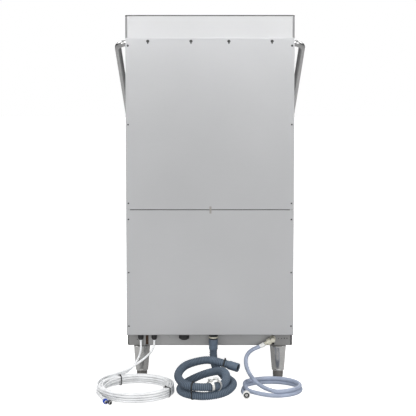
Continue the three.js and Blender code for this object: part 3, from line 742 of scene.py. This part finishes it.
# Corner brackets of the base rail: start and end along X, and holes of (x, z, radius).
BRACKETS = {
    "left": (255, 311, [(279, 147, 1.9), (271, 147, 1.9)]),
    "right": (-309, -248, [(-264, 150, 1.9), (-275, 150, 1.9), (-286, 151, 2.3), (-296, 151, 2.3)]),
}


def make_base():
    """Corner brackets, cut-off corners, slot, bolts and folds of the base rail, with painted shade:
    near-black strips across the corners, a brown strip in the slot and darker steel on the folds.
    """
    face, half = BASE_HIGH.y, BASE_HIGH.x
    low, high = BASE_LOW.z, BASE_HIGH.z
    for side, (start, end, holes) in BRACKETS.items():
        plate = Shape().perforated((start, face - 0.05, low + 0.6), (end, face + 1.6, high - 1), holes)
        piece(f"base_bracket_{side}", plate, "rail_dark")
        shadows = Shape()
        for x, z, size in holes:
            radius = size - 0.05
            shadows.lathe([(0, -0.02), (radius, -0.02), (radius, 0.9), (0, 0.9)], (x, face, z), REARWARD, 16)
        piece(f"base_bracket_{side}_hole_shadows", shadows, "edge")

    # Near-black strips across the cut-off corners of the base: painted shade of its sides there.
    folds = Shape()
    outline = ((-6.6, 1.2), (1.2, -6.6), (0.1, -7.6), (-7.6, 0.1))
    for _, sign in SIDES:
        folds.skin([[Vector((sign * (half + x), face + y, z)) for x, y in outline] for z in (low, high)])
    piece("base_corner_shaded_folds", folds, "edge")
    # A dark brown strip recessed in the rail's slot: painted shade of that gap.
    shade_insert = Shape().block((236.4, face - 5.5, low + 3), (246.6, face - 2.6, high - 1), 0.4)
    piece("base_slot_shade", shade_insert, "slot_shade")
    bolts = Shape().bolt((155, face, 157), REARWARD, 4, 2.6)
    for x in (-120, 40):
        bolts.screw((x, face, 160), REARWARD, 2.6, 1.4)
    piece("base_rail_bolts", bolts, "screw")
    # The folds along the rail's top and bottom are in darker steel: painted shade on those bends.
    rims = Shape().block((8 - half, face - 0.2, high - 1.4), (half - 8, face + 1.4, high - 0.2), 0.4)
    rims.block((8 - half, face - 0.2, low), (half - 8, face + 1.0, low + 2.2), 0.4)
    piece("base_rail_shaded_folds", rims, "rail_dark")


LEG_TOP_RADIUS = 31.4
LEG_LOW_RADIUS = 24.4
FOOT_GROOVES = 16


def make_leg(end, side):
    """A polished cone leg with a rolled lower lip, and the cast foot that screws into it."""
    low, high = extent(f"leg_{end}_{side}")
    place = Vector(((low.x + high.x) / 2, (low.y + high.y) / 2, 0))
    top, foot = high.z, low.z
    cone = Shape().lathe([
        (0, foot + 2), (18, foot + 2), (20.5, foot + 0.3), (22.5, foot), (23.6, foot + 1.2),
        (23.9, foot + 4), (23.3, foot + 5.6), (23.3, foot + 7), (LEG_LOW_RADIUS, foot + 9),
        (30.8, top - 8), (LEG_TOP_RADIUS, top - 6), (LEG_TOP_RADIUS, top - 0.5), (30.9, top), (0, top),
    ], place, sides=48)
    piece(f"leg_cone_{end}_{side}", cone, "leg", replaces=f"leg_{end}_{side}")
    cup = Shape().lathe([
        (0, 0), (17, 0), (18.6, 0.8), (19.2, 2.6), (19.2, 5), (18.4, 6), (18.4, 7), (19.3, 8),
        (19.3, foot - 3), (18.6, foot - 1), (16.5, foot - 0.4), (6, foot - 0.4), (6, foot + 40),
        (0, foot + 40),
    ], place, sides=40)
    for k in range(FOOT_GROOVES):
        cup.block((18.9, -1.1, 9), (19.8, 1.1, foot - 4), 0.3, 1, spun(place, k, FOOT_GROOVES))
    piece(f"foot_cup_{end}_{side}", cup, "foot", f"foot_{end}_{side}", replaces=f"foot_{end}_{side}")


# ---------------- handle and springs

PIVOT = Vector((0, 321, 1281))
HANDLE_SLOPE = math.radians(27.5)
HANDLE_RADIUS = 12.5
HANDLE_ARM = 768.3
HANDLE_ARM_X = 350.5
HANDLE_BEND = 60.0
STUB = 302.0
STUB_BEND = 33.0
ROLLER_AT = 473.6


def handle_point(x, out):
    """A point of the handle, x across and out along the sloping arms from the pivot."""
    return PIVOT + Vector((x, -out * math.cos(HANDLE_SLOPE), -out * math.sin(HANDLE_SLOPE)))


def make_handle():
    """The bent tube, its roller pins, the wheels on them and the shaft's collars."""
    half = [(STUB, 0.0)]
    half += [(x, STUB_BEND - y) for x, y in arc((HANDLE_ARM_X - STUB_BEND, 0), STUB_BEND, 90, 0, 14)]
    half += arc((HANDLE_ARM_X - HANDLE_BEND, HANDLE_ARM - HANDLE_BEND), HANDLE_BEND, 0, 90, 18)
    path = [handle_point(-x, out) for x, out in half] + [handle_point(x, out) for x, out in half[::-1]]
    tube = Shape().sweep(path, HANDLE_RADIUS, 40)
    piece("handle", tube, "tube", "handle", replaces="handle_tube", sharp=50)

    pins = Shape()
    pin = [(0, 0), (4, 0), (4, 13.4), (5.4, 13.4), (5.4, 14), (3.5, 14), (3.5, 22.6), (0, 22.6)]
    for _, sign in SIDES:
        pins.lathe(pin, handle_point(sign * HANDLE_ARM_X, ROLLER_AT), (-sign, 0, 0), 24)
    piece("handle_roller_pins", pins, "screw", "handle")

    for side, _ in SIDES:
        low, high = extent(f"roller_{side}")
        radius, half = (high.z - low.z) / 2, (high.x - low.x) / 2
        rim = [
            (4.3, -half), (7, -half), (7.6, -half + 1), (radius - 2.6, -half + 1),
            (radius - 1.6, -half), (radius - 0.4, -half + 0.2), (radius, -half + 1.2),
        ]
        rim += [(r, -h) for r, h in rim[::-1]]
        wheel = Shape().lathe(rim, (low + high) / 2, (1, 0, 0), 40, True)
        piece(f"roller_wheel_{side}", wheel, "black", f"roller_{side}", replaces=f"roller_{side}")

    collars = Shape()
    column_side = extent("rear_column")[1].x
    for _, sign in SIDES:
        collars.pipe(19, 13.4, -0.4, 2.2, (sign * column_side, PIVOT.y, PIVOT.z), (sign, 0, 0), 0.7, 36)
    piece("shaft_collars", collars, "black")


SPRING_WIRE = 2.6
SPRING_TURNS = 64
SPRING_STEPS = 10  # points in each turn
SPRING_TAPER = 14  # points in which an end turn closes in on the hook


def make_spring(side):
    """A close-wound tension spring with a hook at each end."""
    low, high = extent(f"spring_{side}")
    centre = (low + high) / 2
    radius = (high.x - low.x) / 2 - SPRING_WIRE
    start, end = low.z + 26, high.z - 20
    steps = SPRING_TURNS * SPRING_STEPS

    def at(z, size=0.0, angle=0.0):
        return Vector((centre.x + size * math.cos(angle), centre.y + size * math.sin(angle), z))

    path = [at(low.z + 1), at(low.z + 12)]
    for i in range(steps + 1):
        size = radius * min(1, (i + 4) / SPRING_TAPER, (steps - i + 4) / SPRING_TAPER)
        path.append(at(start + (end - start) * i / steps, size, 2 * math.pi * i / SPRING_STEPS))
    path += [at(high.z - 8), at(high.z - 1)]
    wire = Shape().sweep(path, SPRING_WIRE, 6)
    coil = piece(
        f"balance_spring_{side}", wire, "zinc", replaces=f"spring_{side}", sharp=80, even=False,
    )
    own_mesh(coil)


# ---------------- rear fittings

TUBE_BORE = 4.4
NUT_RISE = 7.5  # from the mouth of a gland to its nut


def make_gland(name, ribs, bored):
    """A black ribbed gland nut under the rear cover; a bored one has a pale sleeve for its tube."""
    low, high = extent(name)
    radius = (high.x - low.x) / 2
    x, y = (low.x + high.x) / 2, high.y - radius
    bottom = low.z + NUT_RISE
    if bored:
        mouth = [(TUBE_BORE, bottom + 3), (TUBE_BORE, bottom - 2), (0.64 * radius, bottom - 2)]
    else:
        mouth = [(0, bottom - 3), (0.5 * radius, bottom - 3), (0.6 * radius, bottom - 2.2)]
    body = [(radius - 1, bottom + 1.5), (radius, bottom + 3), (radius, high.z), (0, high.z)]
    nut = Shape().lathe(mouth + body + [(0, bottom + 3)] * bored, (x, y, 0), sides=36)
    for k in range(ribs):
        nut.block((radius - 0.6, -0.9, bottom + 3.4), (radius + 0.5, 0.9, high.z - 1), 0.3, 1,
                  spun((x, y, 0), k, ribs))
    nut.block((x - 6, BASE_HIGH.y + 0.3, bottom + 3), (x + 6, y, high.z - 2), 1.5)
    piece(name + "_nut", nut, "rubber", replaces=name)
    if bored:
        sleeve = (TUBE_BORE + 0.4, TUBE_BORE - 0.25, low.z, bottom + 2)
        piece(name + "_sleeve", Shape().pipe(*sleeve, (x, y, 0), UP, 0.3, 24), "dosing")


DRAIN_RINGS = (  # name, outer radius, bottom, top and material
    ("upper", 17.0, 164, 169.5, "black"), ("middle", 17.8, 158.5, 163.7, "cream"),
    ("lower", 16.8, 153, 158.2, "black"),
)
SPIGOT_HEIGHT = 157
SPIGOT_BEND = 18


def make_spigot():
    """The drain outlet: clamp rings over a soft cuff that holds the hose."""
    x, y = DRAIN_OUTLET.x, DRAIN_OUTLET.y
    elbow = arc((y - SPIGOT_BEND, SPIGOT_HEIGHT - SPIGOT_BEND), SPIGOT_BEND, 90, 0, 10)
    path = [(BASE_HIGH.y + 0.5, SPIGOT_HEIGHT), *elbow, (y, 150)]
    bend = Shape().sweep([Vector((x, *point)) for point in path], 12.5, 28)
    piece("drain_spigot_bend", bend, "black", replaces="drain_spigot")
    for name, radius, low, high, material in DRAIN_RINGS:
        ring = Shape().pipe(radius, 12.6, low, high, (x, y, 0), UP, 1.2, 36)
        piece(f"drain_ring_{name}", ring, material)
    cuff = Shape().lathe([
        (12.7, 114), (15.9, 114), (16.6, 115.5), (16.9, 119), (16.9, 128), (16.2, 129.5), (16.2, 131),
        (17.1, 133), (17.1, 151), (16.4, 152.8), (12.7, 152.8),
    ], (x, y, 0), UP, 36, True)
    piece("drain_hose_cuff", cuff, "cuff")


INLET_TURN = Vector((-240, 345, 150))  # where the elbow turns
INLET_MOUTH = Vector((-210, 345, 134.3))
NUT_GRIPS = 8


def make_inlet_fittings():
    """The cream inlet elbow, the hose's white ferrule and the union nut at its far end."""
    axis = INLET_MOUTH - INLET_TURN
    face = BASE_HIGH.y
    long = INLET_TURN.y - face
    elbow = Shape().lathe(
        [(0, 0.3), (12, 0.3), (12, 3), (9, 4.5), (9, long + 9), (7.5, long + 10.5), (0, long + 10.5)],
        (INLET_TURN.x, face, INLET_TURN.z), REARWARD,
    )
    elbow.lathe([(0, -8), (8.6, -6), (8.6, 4), (7.6, 5), (7.6, 33.6), (0, 33.6)], INLET_TURN, axis)
    elbow.lathe([(0, 8), (11.4, 8), (12.2, 9), (12.2, 22), (11.4, 23), (0, 23)], INLET_TURN, axis, 8)
    piece("inlet_elbow_body", elbow, "cream", replaces="inlet_elbow", sharp=30)
    ferrule = Shape().pipe(9.0, 7.7, 1.5, 21, INLET_MOUTH, axis)

    low, high = extent("inlet_hose_nut")
    rear, front = low.y, high.y
    centre = Vector(((low.x + high.x) / 2, 0, (low.z + high.z) / 2))
    nut = Shape().lathe([
        (8.2, rear), (9.6, rear), (10.4, rear + 2), (12.2, rear + 4), (12.2, front - 6),
        (13.6, front - 5), (13.6, front - 0.8), (12.8, front), (10.6, front), (10.2, front - 0.8),
        (10.2, front - 9), (8.2, front - 9),
    ], centre, REARWARD, 40, True)
    for k in range(NUT_GRIPS):
        nut.block((11.6, rear + 4, -1.6), (14.0, front - 5.4, 1.6), 0.7, 2, spun(centre, k, NUT_GRIPS, "Y"))
    washer = Shape().pipe(10.1, 4.6, front - 8.5, front - 3.2, centre, REARWARD)
    core = Shape().pipe(4.5, 2.6, front - 8.5, front - 2.4, centre, REARWARD, 0.5, 28)
    core.pipe(8.4, 7.2, rear - 16, rear + 8, centre, REARWARD, 0.5)
    return [
        piece("inlet_ferrule", ferrule, "white"),
        piece("inlet_union_nut", nut, "white", replaces="inlet_hose_nut"),
        piece("inlet_nut_washer", washer, "rubber"),
        piece("inlet_nut_core", core, "white"),
    ]


DOSING_COLLARS = {"detergent": ("blue", 9.2), "rinse_aid": ("black", 7.4)}  # material and radius
COLLAR_RIBS = 10


def make_dosing_fitting(which, start, end):
    """A push-on fitting: a ribbed coloured collar, a pale core and a dark tip."""
    axis, long = end - start, (end - start).length
    material, radius = DOSING_COLLARS[which]
    collar = Shape().pipe(radius - 0.4, 4.3, 2, long - 1.5, start, axis, 1.0, 28)
    for k in range(COLLAR_RIBS):
        turn = Matrix.Translation(start) @ turn_to(axis) @ spun((0, 0, 0), k, COLLAR_RIBS)
        collar.block((radius - 0.9, -0.9, 3), (radius, 0.9, long - 3), 0.25, 1, turn)
    core = Shape().pipe(4.2, 2.4, 0, long - 1, start, axis, 0.5, 24)
    core.pipe(4.9, 3.9, long - 2.2, long + 1.6, start, axis, 0.4, 24)
    tip = Shape().pipe(3.8, 1.4, long - 2, long + 3.4, start, axis, 0.5, 20)
    return [
        piece(f"dosing_collar_{which}", collar, material, replaces=f"dosing_end_{which}"),
        piece(f"dosing_core_{which}", core, "white"),
        piece(f"dosing_tip_{which}", tip, "rubber"),
    ]


def tie(name, strands, axis, width, thick=1.3, clearance=0.3):
    """A cable tie drawn round some strands, given as (point, radius), with its head on top."""
    loop = around(strands, axis, clearance)
    top = max(loop, key=lambda p: p.z) + Vector((0, 0, 1.6))
    head = width / 2 + 0.6
    strap = Shape().band(loop, axis, width, thick)
    strap.block((-3.2, -2.4, -head), (3.2, 2.4, head), 0.6, 2, Matrix.Translation(top) @ turn_to(axis))
    return piece(name, strap, "rubber")


def nearest(path, place):
    """The index of the path's point that is closest to a place."""
    return min(range(len(path)), key=lambda i: (path[i] - place).length)


CLAMP_WIDTH = 10.0
CLAMP_HALF = 20.5  # half its width across the hose
CLAMP_SINK = 16.5  # from the hose's centre line down to the band's lowest point


def make_worm_clamp(name, path, place, turn, high):
    """A loose worm-drive clamp on the hose, turned on it by some degrees, with its housing on top."""
    i = nearest(path, place)
    axis = Matrix.Rotation(math.radians(turn), 4, "Z") @ tangent_at(path, i)
    axis = Vector((axis.x, axis.y, 0)).normalized()
    side = axis.cross(Vector(UP))
    loop = [
        path[i] + side * x + Vector((0, 0, high * y + high - CLAMP_SINK))
        for x, y in ((CLAMP_HALF * math.cos(a), math.sin(a)) for a in (math.tau * k / 48 for k in range(48)))
    ]
    clamp = Shape().band(loop, axis, CLAMP_WIDTH, 1.0)
    turned = Matrix((side, axis, UP)).transposed().to_4x4()
    top = Matrix.Translation(path[i] + Vector((0, 0, 2 * high - CLAMP_SINK + 1))) @ turned
    clamp.block((-7, -5.8, -0.8), (6, 5.8, 5.6), 1.6, 3, top)
    thread = [(0, -14), (3.2, -14), (3.2, 3), (5.0, 3), (5.0, 7.4), (4.4, 8), (0, 8)]
    clamp.lathe(thread, top @ Vector((6, 0, 2.4)), side, 6)
    tail = top @ Matrix.Rotation(math.radians(-16), 4, "Y")
    clamp.block((-22, -5, -3.6), (-6, 5, -2.7), 0.4, 1, tail)
    return piece(name, clamp, "clamp")


# ---------------- wash chamber

def make_spray_arm(name):
    """A pressed spray arm with rounded rims, a hub and angled nozzles."""
    low, high = extent(name)
    centre = (low + high) / 2
    reach, half, thick = (high.x - low.x) / 2, (high.y - low.y) / 2 - 6, high.z - low.z
    edge, rise = min(3.0, thick / 2 - 1.2), thick - 2
    ease = edge * 0.3
    levels = ((edge, 0), (ease, ease), (0, edge), (0, rise - edge), (ease, rise - ease), (edge, rise))
    pressing = Shape().skin([
        [p + Vector((centre.x, centre.y, 0)) for p in
         rounded_outline((reach, -half, half, half), -away, low.z + 1 + up)]
        for away, up in levels
    ])
    pressing.pipe(half + 5.6, 6.7, 0, thick, (centre.x, centre.y, low.z), UP, 1.6, 36)
    piece(name + "_pressing", pressing, "chamber", name, name)

    wide = half > 10
    count, size = (6, 3.6) if wide else (8, 2.2)
    face, way = (high.z - 1, 1) if name.startswith("lower") else (low.z + 1, -1)
    nozzles = Shape()
    for k in range(count):
        out = half + 14 + (reach - 2 * half - 22) * k / (count - 1)
        lean = (0, 0.25 * (-1) ** k, way)
        for x in (centre.x - out, centre.x + out):
            nozzles.pipe(size, size * 0.5, -0.6, 2.2, (x, centre.y, face), lean, 0.4, 16)
    piece(name + "_nozzles", nozzles, "black", name)


RACK_ROD_RADIUS = 4.2
RACK_ROD_X = 258


def make_rack_guide():
    """Two rails on short posts, joined by rods."""
    low, high = extent("rack_guide")
    rail_y = (low.y + 4, high.y - 4)
    guide = Shape()
    for y in rail_y:
        guide.block((low.x, y - 4, high.z - 12), (high.x, y + 4, high.z), 2.2, 3)
        for x in (low.x + 10, high.x - 10):
            guide.block((x - 5, y - 4, low.z), (x + 5, y + 4, high.z - 10), 1.6, 2)
    for x in (-RACK_ROD_X, RACK_ROD_X):
        ends = (rail_y[0] + 2, rail_y[1] - 2)
        guide.sweep([Vector((x, y, high.z - 14)) for y in ends], RACK_ROD_RADIUS, 16)
    piece("rack_guide_rods", guide, "tube", replaces="rack_guide")


def make_standpipe():
    """The overflow pipe: a plug below, a sealing flange and an open rim."""
    low, high = extent("drain_standpipe")
    flange, top = low.z + 10.3, high.z
    pipe = Shape().lathe([
        (0, low.z), (14, low.z), (14, flange), (20.6, flange), (20.9, flange + 1.4), (20.9, flange + 6),
        (19.6, flange + 7.6), (14.4, flange + 11), (14, flange + 14), (14, top - 8), (15, top - 6.6),
        (15, top - 1), (14.2, top), (11.6, top), (11, top - 1), (11, flange + 20), (0, flange + 20),
    ], ((low.x + high.x) / 2, (low.y + high.y) / 2, 0), sides=40)
    piece("standpipe_tube", pipe, "black", "drain_standpipe", replaces="drain_standpipe")


TANK_BOX = (251, -269, 233, 41)


def make_tank_rim():
    """The rolled bead round the tank's mouth."""
    top = extent("wash_tank")[1].z
    levels = ((0, -0.4), (2.4, 0.4), (6.5, 1.1), (8, 0.4), (8, -0.6))
    bead = Shape().skin([rounded_outline(TANK_BOX, away, top + z, 10) for away, z in levels], True)
    piece("tank_rim_bead", bead, "chamber")


STRAINER_BORDER = 40.0
STRAINER_PITCH = 14.0
STRAINER_HOLE = 3.6
STRAINER_SIDES = 8
PIPE_GAP = 30  # round the middle of the standpipe, where there is no plate
PIPE_SOLID = 45  # where the plate has no holes


def make_strainer():
    """The perforated strainer plate over the tank, with a solid border and a collar for the pipe."""
    low, high = extent("tank_filter")
    centre, hub = (low + high) / 2, middle("drain_standpipe")
    plate = Shape()
    known = {}

    def vert(x, y):
        key = (round(x, 2), round(y, 2))
        if key not in known:
            known[key] = plate.bm.verts.new((*key, low.z))
        return known[key]

    count = int((high.x - low.x - 2 * STRAINER_BORDER) / STRAINER_PITCH)
    reach = STRAINER_PITCH / 2
    square = [(1, 0), (1, 1), (0, 1), (-1, 1), (-1, 0), (-1, -1), (0, -1), (1, -1)]
    turns = [2 * math.pi * k / STRAINER_SIDES for k in range(STRAINER_SIDES)]
    offsets = [STRAINER_PITCH * (i - (count - 1) / 2) for i in range(count)]
    for x, y in ((centre.x + a, centre.y + b) for b in offsets for a in offsets):
        away = math.hypot(x - hub.x, y - hub.y)
        if away < PIPE_GAP:
            continue
        outer = [vert(x + reach * a, y + reach * b) for a, b in square]
        if away < PIPE_SOLID:
            plate.bm.faces.new(outer)
            continue
        inner = [vert(x + STRAINER_HOLE * math.cos(a), y + STRAINER_HOLE * math.sin(a)) for a in turns]
        for k in range(STRAINER_SIDES):
            n = (k + 1) % STRAINER_SIDES
            plate.bm.faces.new((outer[k], outer[n], inner[n], inner[k]))
    bmesh.ops.recalc_face_normals(plate.bm, faces=plate.bm.faces)
    bmesh.ops.solidify(plate.bm, geom=plate.bm.faces, thickness=low.z - high.z)
    shift = high.z - max(v.co.z for v in plate.bm.verts)
    bmesh.ops.translate(plate.bm, vec=(0, 0, shift), verts=plate.bm.verts)
    inner = reach * count - 0.2
    layers = ((high.x, 36, low.z), (inner, 0.3, low.z), (inner, 0.3, high.z), (high.x, 36, high.z))
    plate.skin([
        rounded_outline((half, centre.y - half, centre.y + half, corner), 0, z)
        for half, corner, z in layers
    ], True)
    plate.pipe(46, 27, low.z - 0.5, high.z + 0.8, (hub.x, hub.y, 0), UP, 0.5, 40)
    for x in (low.x + 60, high.x - 60):
        plate.block((x - 22, -40, high.z - 0.1), (x + 22, -32, high.z + 2.2), 0.8)
    piece("strainer_plate", plate, "chamber", replaces="tank_filter")


NODE_LOOKS = {
    "base_frame": "rail", "rear_column": "side", "control_panel": "panel", "wash_tank": "chamber",
    "wash_heater": "heater", "spray_manifold": "tube", "guide_post_left": "tube",
    "guide_post_right": "tube", "hood_carriage": "zinc", "pivot_shaft": "leg", "wash_pump": "aluminium",
    "rinse_boiler": "wrap", "dosing_unit": "black", "inlet_valve": "black", "electrical_box": "grey",
}


def dress_cad_nodes():
    """Gives every CAD node that stays in view its procedural material."""
    for name, look in NODE_LOOKS.items():
        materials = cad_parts[name].data.materials
        if not materials:
            materials.append(MATERIALS[look])
        for i in range(len(materials)):
            materials[i] = MATERIALS[look]


# ---------------- cords

DRAIN_RADIUS = 15
DRAIN_SIDES = 22
DRAIN_PITCH = 6.2  # from rib to rib
DRAIN_COIL = (16, 548)
DRAIN_OUTLET = Vector((-13, 347, 116.7))
DRAIN_MOUTH = Vector((-104.5, 485, 78.2))
DRAIN_LEAD = [
    (-13, 347, 116.7), (-13, 347, 106), (-13, 351, 94), (-14, 361, 82), (-16, 376, 72),
    (-19, 393, 65), (-23, 411, 60), (-28, 427, 57),
]
INLET_RADIUS = 7.5
INLET_COIL = (-227, 512)
INLET_FLOOR = 7.6
INLET_LEAD = [
    (-209.1, 345, 133.8), (-197, 345, 127.5), (-182, 347.5, 121.5), (-165, 356, 116),
    (-150, 370, 109), (-139, 389, 98), (-135, 411, 84), (-137, 433, 69), (-143, 453, 56),
    (-149, 467, 48), (-157, 492, 42), (-171, 524, 34), (-190, 557, 28), (-214, 584, 24),
]
INLET_TAIL = [(-121, 530, 7.6), (-121, 560, 8.5), (-124, 583, 11), (-131, 603, 14.3)]
DOSING_RADIUS = 4
DOSING_COIL = (270, 541)
DOSING_PITCH = 2 * DOSING_RADIUS + 0.4
DOSING_INNER = 116.7  # radii of the innermost and outermost turns
DOSING_OUTER = DOSING_INNER + 47 / 16 * DOSING_PITCH
DOSING_BASE = DOSING_RADIUS + 3.0  # the lowest strands lie on their ties
DOSING_LAYERS = {"detergent": DOSING_BASE, "rinse_aid": DOSING_BASE + DOSING_PITCH}
DOSING_START = -30  # degrees round the coil
DOSING_STEPS = 16  # route points in each turn
DOSING_LEADS = {
    "detergent": [
        (264, 347, 145.7), (264, 347.5, 132), (264, 349.5, 118), (266, 355, 104), (271, 364, 89),
        (280, 376, 73), (291, 388, 59), (304, 399, 48), (317, 408, 40),
    ],
    "rinse_aid": [
        (213, 347, 145.7), (213.5, 348, 133), (217, 353, 119), (226, 362, 106), (241, 373, 93),
        (259, 384, 80), (279, 394, 68), (298, 404, 58), (317, 414, 50),
    ],
}


def vectors(points):
    return [Vector(point) for point in points]


def coil_point(centre, angle, radius, z, squeeze=1.0):
    """A point of a coil; the angle runs from the side next to the machine, first towards -X."""
    turn = math.radians(angle)
    return Vector((centre[0] - radius * math.sin(turn), centre[1] - radius * squeeze * math.cos(turn), z))


def ribbed(radius, pitch, depth):
    """The radius of a corrugated hose as a function of the distance along it."""
    return lambda distance: radius - depth * (0.5 + 0.5 * math.cos(2 * math.pi * distance / pitch)) ** 2


def drain_route():
    """Down from the spigot, one turn on the floor, one on top of it, and back to the lead."""
    turns = [
        (45, 98, 46), (90, 100, 36), (135, 97, 24.5), (180, 92, 17.3), (225, 92, 17.3),
        (270, 92, 17.6), (315, 86, 30), (360, 80, 52), (410, 77, 70), (450, 76, 62), (495, 85, 50),
        (540, 90, 48.6), (585, 98, 51), (630, 100, 66), (675, 103, 85), (720, 103, 97),
    ]
    coil = [coil_point(DRAIN_COIL, *turn) for turn in turns]
    return vectors(DRAIN_LEAD) + coil + vectors([(-45, 466, 92), (-74, 470, 84)])


def inlet_route():
    """A loose two-turn ring that runs the other way round, then out to the nut."""
    coil = [coil_point(INLET_COIL, angle, 103, 22, 0.87) for angle in range(170, -91, -30)]
    for angle in range(-121, -451, -30):
        drop = INLET_FLOOR if angle < -190 else 22 + (22 - INLET_FLOOR) * (angle + 90) / 100
        coil.append(coil_point(INLET_COIL, angle, 106, drop, 0.87))
    return vectors(INLET_LEAD) + coil + vectors(INLET_TAIL)


def dosing_fitting_ends(which):
    """Both ends of a dosing tube's fitting."""
    centre = middle(f"dosing_end_{which}")
    centre.z = DOSING_COLLARS[which][1] + 0.4
    aim = Vector((-0.35, 0.94, 0)).normalized() * 9
    return centre - aim, centre + aim


def dosing_coil(which):
    """Angle, radius and height along a tube: flat turns inward on top, then outward below them."""
    low = DOSING_LAYERS[which]
    high = low + 2 * DOSING_PITCH
    turns = round((DOSING_OUTER - DOSING_INNER) / DOSING_PITCH * DOSING_STEPS)
    fall = 6  # steps in which the tube comes down onto the coil, and later drops below its top turns
    places = [
        (DOSING_OUTER - DOSING_PITCH * i / DOSING_STEPS, high + 11 * math.exp(-2.0 * i / fall))
        for i in range(turns + 1)
    ]
    for i in range(1, fall):
        places.append((DOSING_INNER, high + (low - high) * (0.5 - 0.5 * math.cos(math.pi * i / fall))))
    places += [(DOSING_INNER + DOSING_PITCH * i / DOSING_STEPS, low) for i in range(turns + 1)]
    return [(DOSING_START - 360 * i / DOSING_STEPS, *place) for i, place in enumerate(places)]


def dosing_route(which):
    """A lead down onto the coil, its turns, and a tail to the fitting."""
    coil = [coil_point(DOSING_COIL, *place) for place in dosing_coil(which)]
    start, end = dosing_fitting_ends(which)
    aim = (end - start).normalized()
    along = (coil[-1] - coil[-2]).normalized()
    tail = [coil[-1] + along * 30, start - aim * 16, start + aim * 3]
    tail[0].z = (2 * coil[-1].z + start.z) / 3
    return vectors(DOSING_LEADS[which]) + coil[1:] + tail


def sweep_cord(name, route, radius, sides, material, step, profile=None):
    """A cord's tube along a smooth curve through its route, and the curve."""
    path = curve_through(route, step)
    tube = Shape().sweep(path, profile or radius, sides)
    return piece(name, tube, material, sharp=60, even=False), path


def declare(made, path, radius, stiffness, pieces, *replaced):
    """Hides the CAD nodes that a swept cord replaces; the path passed in is not used."""
    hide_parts(*replaced)


def make_drain_cuff(start, mouth):
    """The smooth cuff at the end of the drain hose, and a black skin inside its mouth: painted shade in that
    hollow.
    """
    axis, long = mouth - start, (mouth - start).length
    cuff = Shape().lathe([
        (12.2, -3), (15.8, -3), (16.3, -1), (16.3, long * 0.45), (15.7, long * 0.48),
        (16.2, long * 0.52), (16.4, long - 1.2), (15.8, long), (13.6, long), (13.0, long - 1),
        (12.2, long - 10),
    ], start, axis, 36, True)
    # A black skin just inside the cuff's mouth: painted shade in the hollow.
    shade_insert = Shape().pipe(13.2, 12.0, long - 22, long - 4, start, axis, 0.4)
    return [
        piece("drain_end_cuff", cuff, "cuff", replaces="drain_hose_end"),
        piece("drain_end_mouth_shade", shade_insert, "rubber"),
    ]


def make_drain_hose():
    """The corrugated drain hose with its end cuff, ties and two loose worm clamps."""
    made, path = sweep_cord(
        "drain_hose", drain_route(), DRAIN_RADIUS, DRAIN_SIDES, "drain", DRAIN_PITCH / 4,
        ribbed(DRAIN_RADIUS, DRAIN_PITCH, 2.2),
    )
    # The faces in each groove get the darker colour: painted shade in the corrugations.
    made.data.materials.append(MATERIALS["groove_shade"])
    for face in made.data.polygons:
        if face.index // DRAIN_SIDES % 4 in (0, 3):
            face.material_index = 1
    pieces = make_drain_cuff(path[-1], DRAIN_MOUTH)
    for side, angle, radius, turn, high in (("left", 528, 89, 14, 18.5), ("right", 513, 88, 34, 20)):
        place = coil_point(DRAIN_COIL, angle, radius, 48)
        pieces.append(make_worm_clamp(f"drain_clamp_{side}", path, place, turn, high))
    ties = {"front": coil_point(DRAIN_COIL, 568, 95, 48), "rear": Vector((-50, 467, 91))}
    for name, place in ties.items():
        top = nearest(path, place)
        bottom = min(range(len(path) // 2), key=lambda i: (path[i].xy - path[top].xy).length)
        strands = [(path[i], DRAIN_RADIUS + 0.2) for i in (top, bottom)]
        pieces.append(tie(f"drain_tie_{name}", strands, tangent_at(path, top), 4.4))
    declare(made, path, DRAIN_RADIUS, "stiff", pieces, "drain_hose_lead", "drain_hose_coil")


def make_inlet_hose():
    """The inlet hose with its ferrule and union nut."""
    made, path = sweep_cord("inlet_hose", inlet_route(), INLET_RADIUS, 20, "inlet", 4.0)
    pieces = make_inlet_fittings()
    declare(made, path, INLET_RADIUS, "stiff", pieces, "inlet_hose_lead", "inlet_hose_coil")


def make_dosing_ties():
    """Two cable ties round the whole bundle of dosing tubes."""
    for name, angle in (("left", -33), ("right", -244)):
        turn = math.radians(angle)
        radii = [
            radius for which in DOSING_LAYERS for a, radius, _ in dosing_coil(which)
            if abs((a - angle + 180) % 360 - 180) < 180 / DOSING_STEPS
        ]
        strands = [
            (coil_point(DOSING_COIL, angle, radius, z), DOSING_RADIUS)
            for radius in (min(radii), max(radii))
            for z in (DOSING_BASE, DOSING_BASE + 3 * DOSING_PITCH)
        ]
        tie(f"dosing_tie_{name}", strands, (math.cos(turn), -math.sin(turn), 0), 4.0, 1.2, 0.5)


def make_dosing_tubes():
    """The two white dosing tubes, wound side by side, with their end fittings and ties."""
    for which in DOSING_LEADS:
        made, path = sweep_cord(
            f"dosing_tube_{which}", dosing_route(which), DOSING_RADIUS, 12, "dosing", 6.0,
        )
        pieces = make_dosing_fitting(which, *dosing_fitting_ends(which))
        declare(made, path, DOSING_RADIUS, "medium", pieces, f"dosing_lead_{which}", "dosing_coil")
    make_dosing_ties()


# ---------------- build

make_camera()
make_sky()
make_lamps()
make_floor()
make_drain_hose()
make_inlet_hose()
make_dosing_tubes()
make_hood()
make_rear_covers()
make_side_covers()
make_front()
make_controls()
make_base()
for end in ("front", "rear"):
    for side, _ in SIDES:
        make_leg(end, side)
make_handle()
for side, _ in SIDES:
    make_spring(side)
for tube in ("detergent", "rinse_aid"):
    make_gland(f"tube_gland_{tube}", 10, True)
make_gland("power_gland", 18, False)
make_spigot()
for name in ("lower_wash_arm", "lower_rinse_arm", "upper_wash_arm", "upper_rinse_arm"):
    make_spray_arm(name)
make_rack_guide()
make_standpipe()
make_tank_rim()
make_strainer()
dress_cad_nodes()
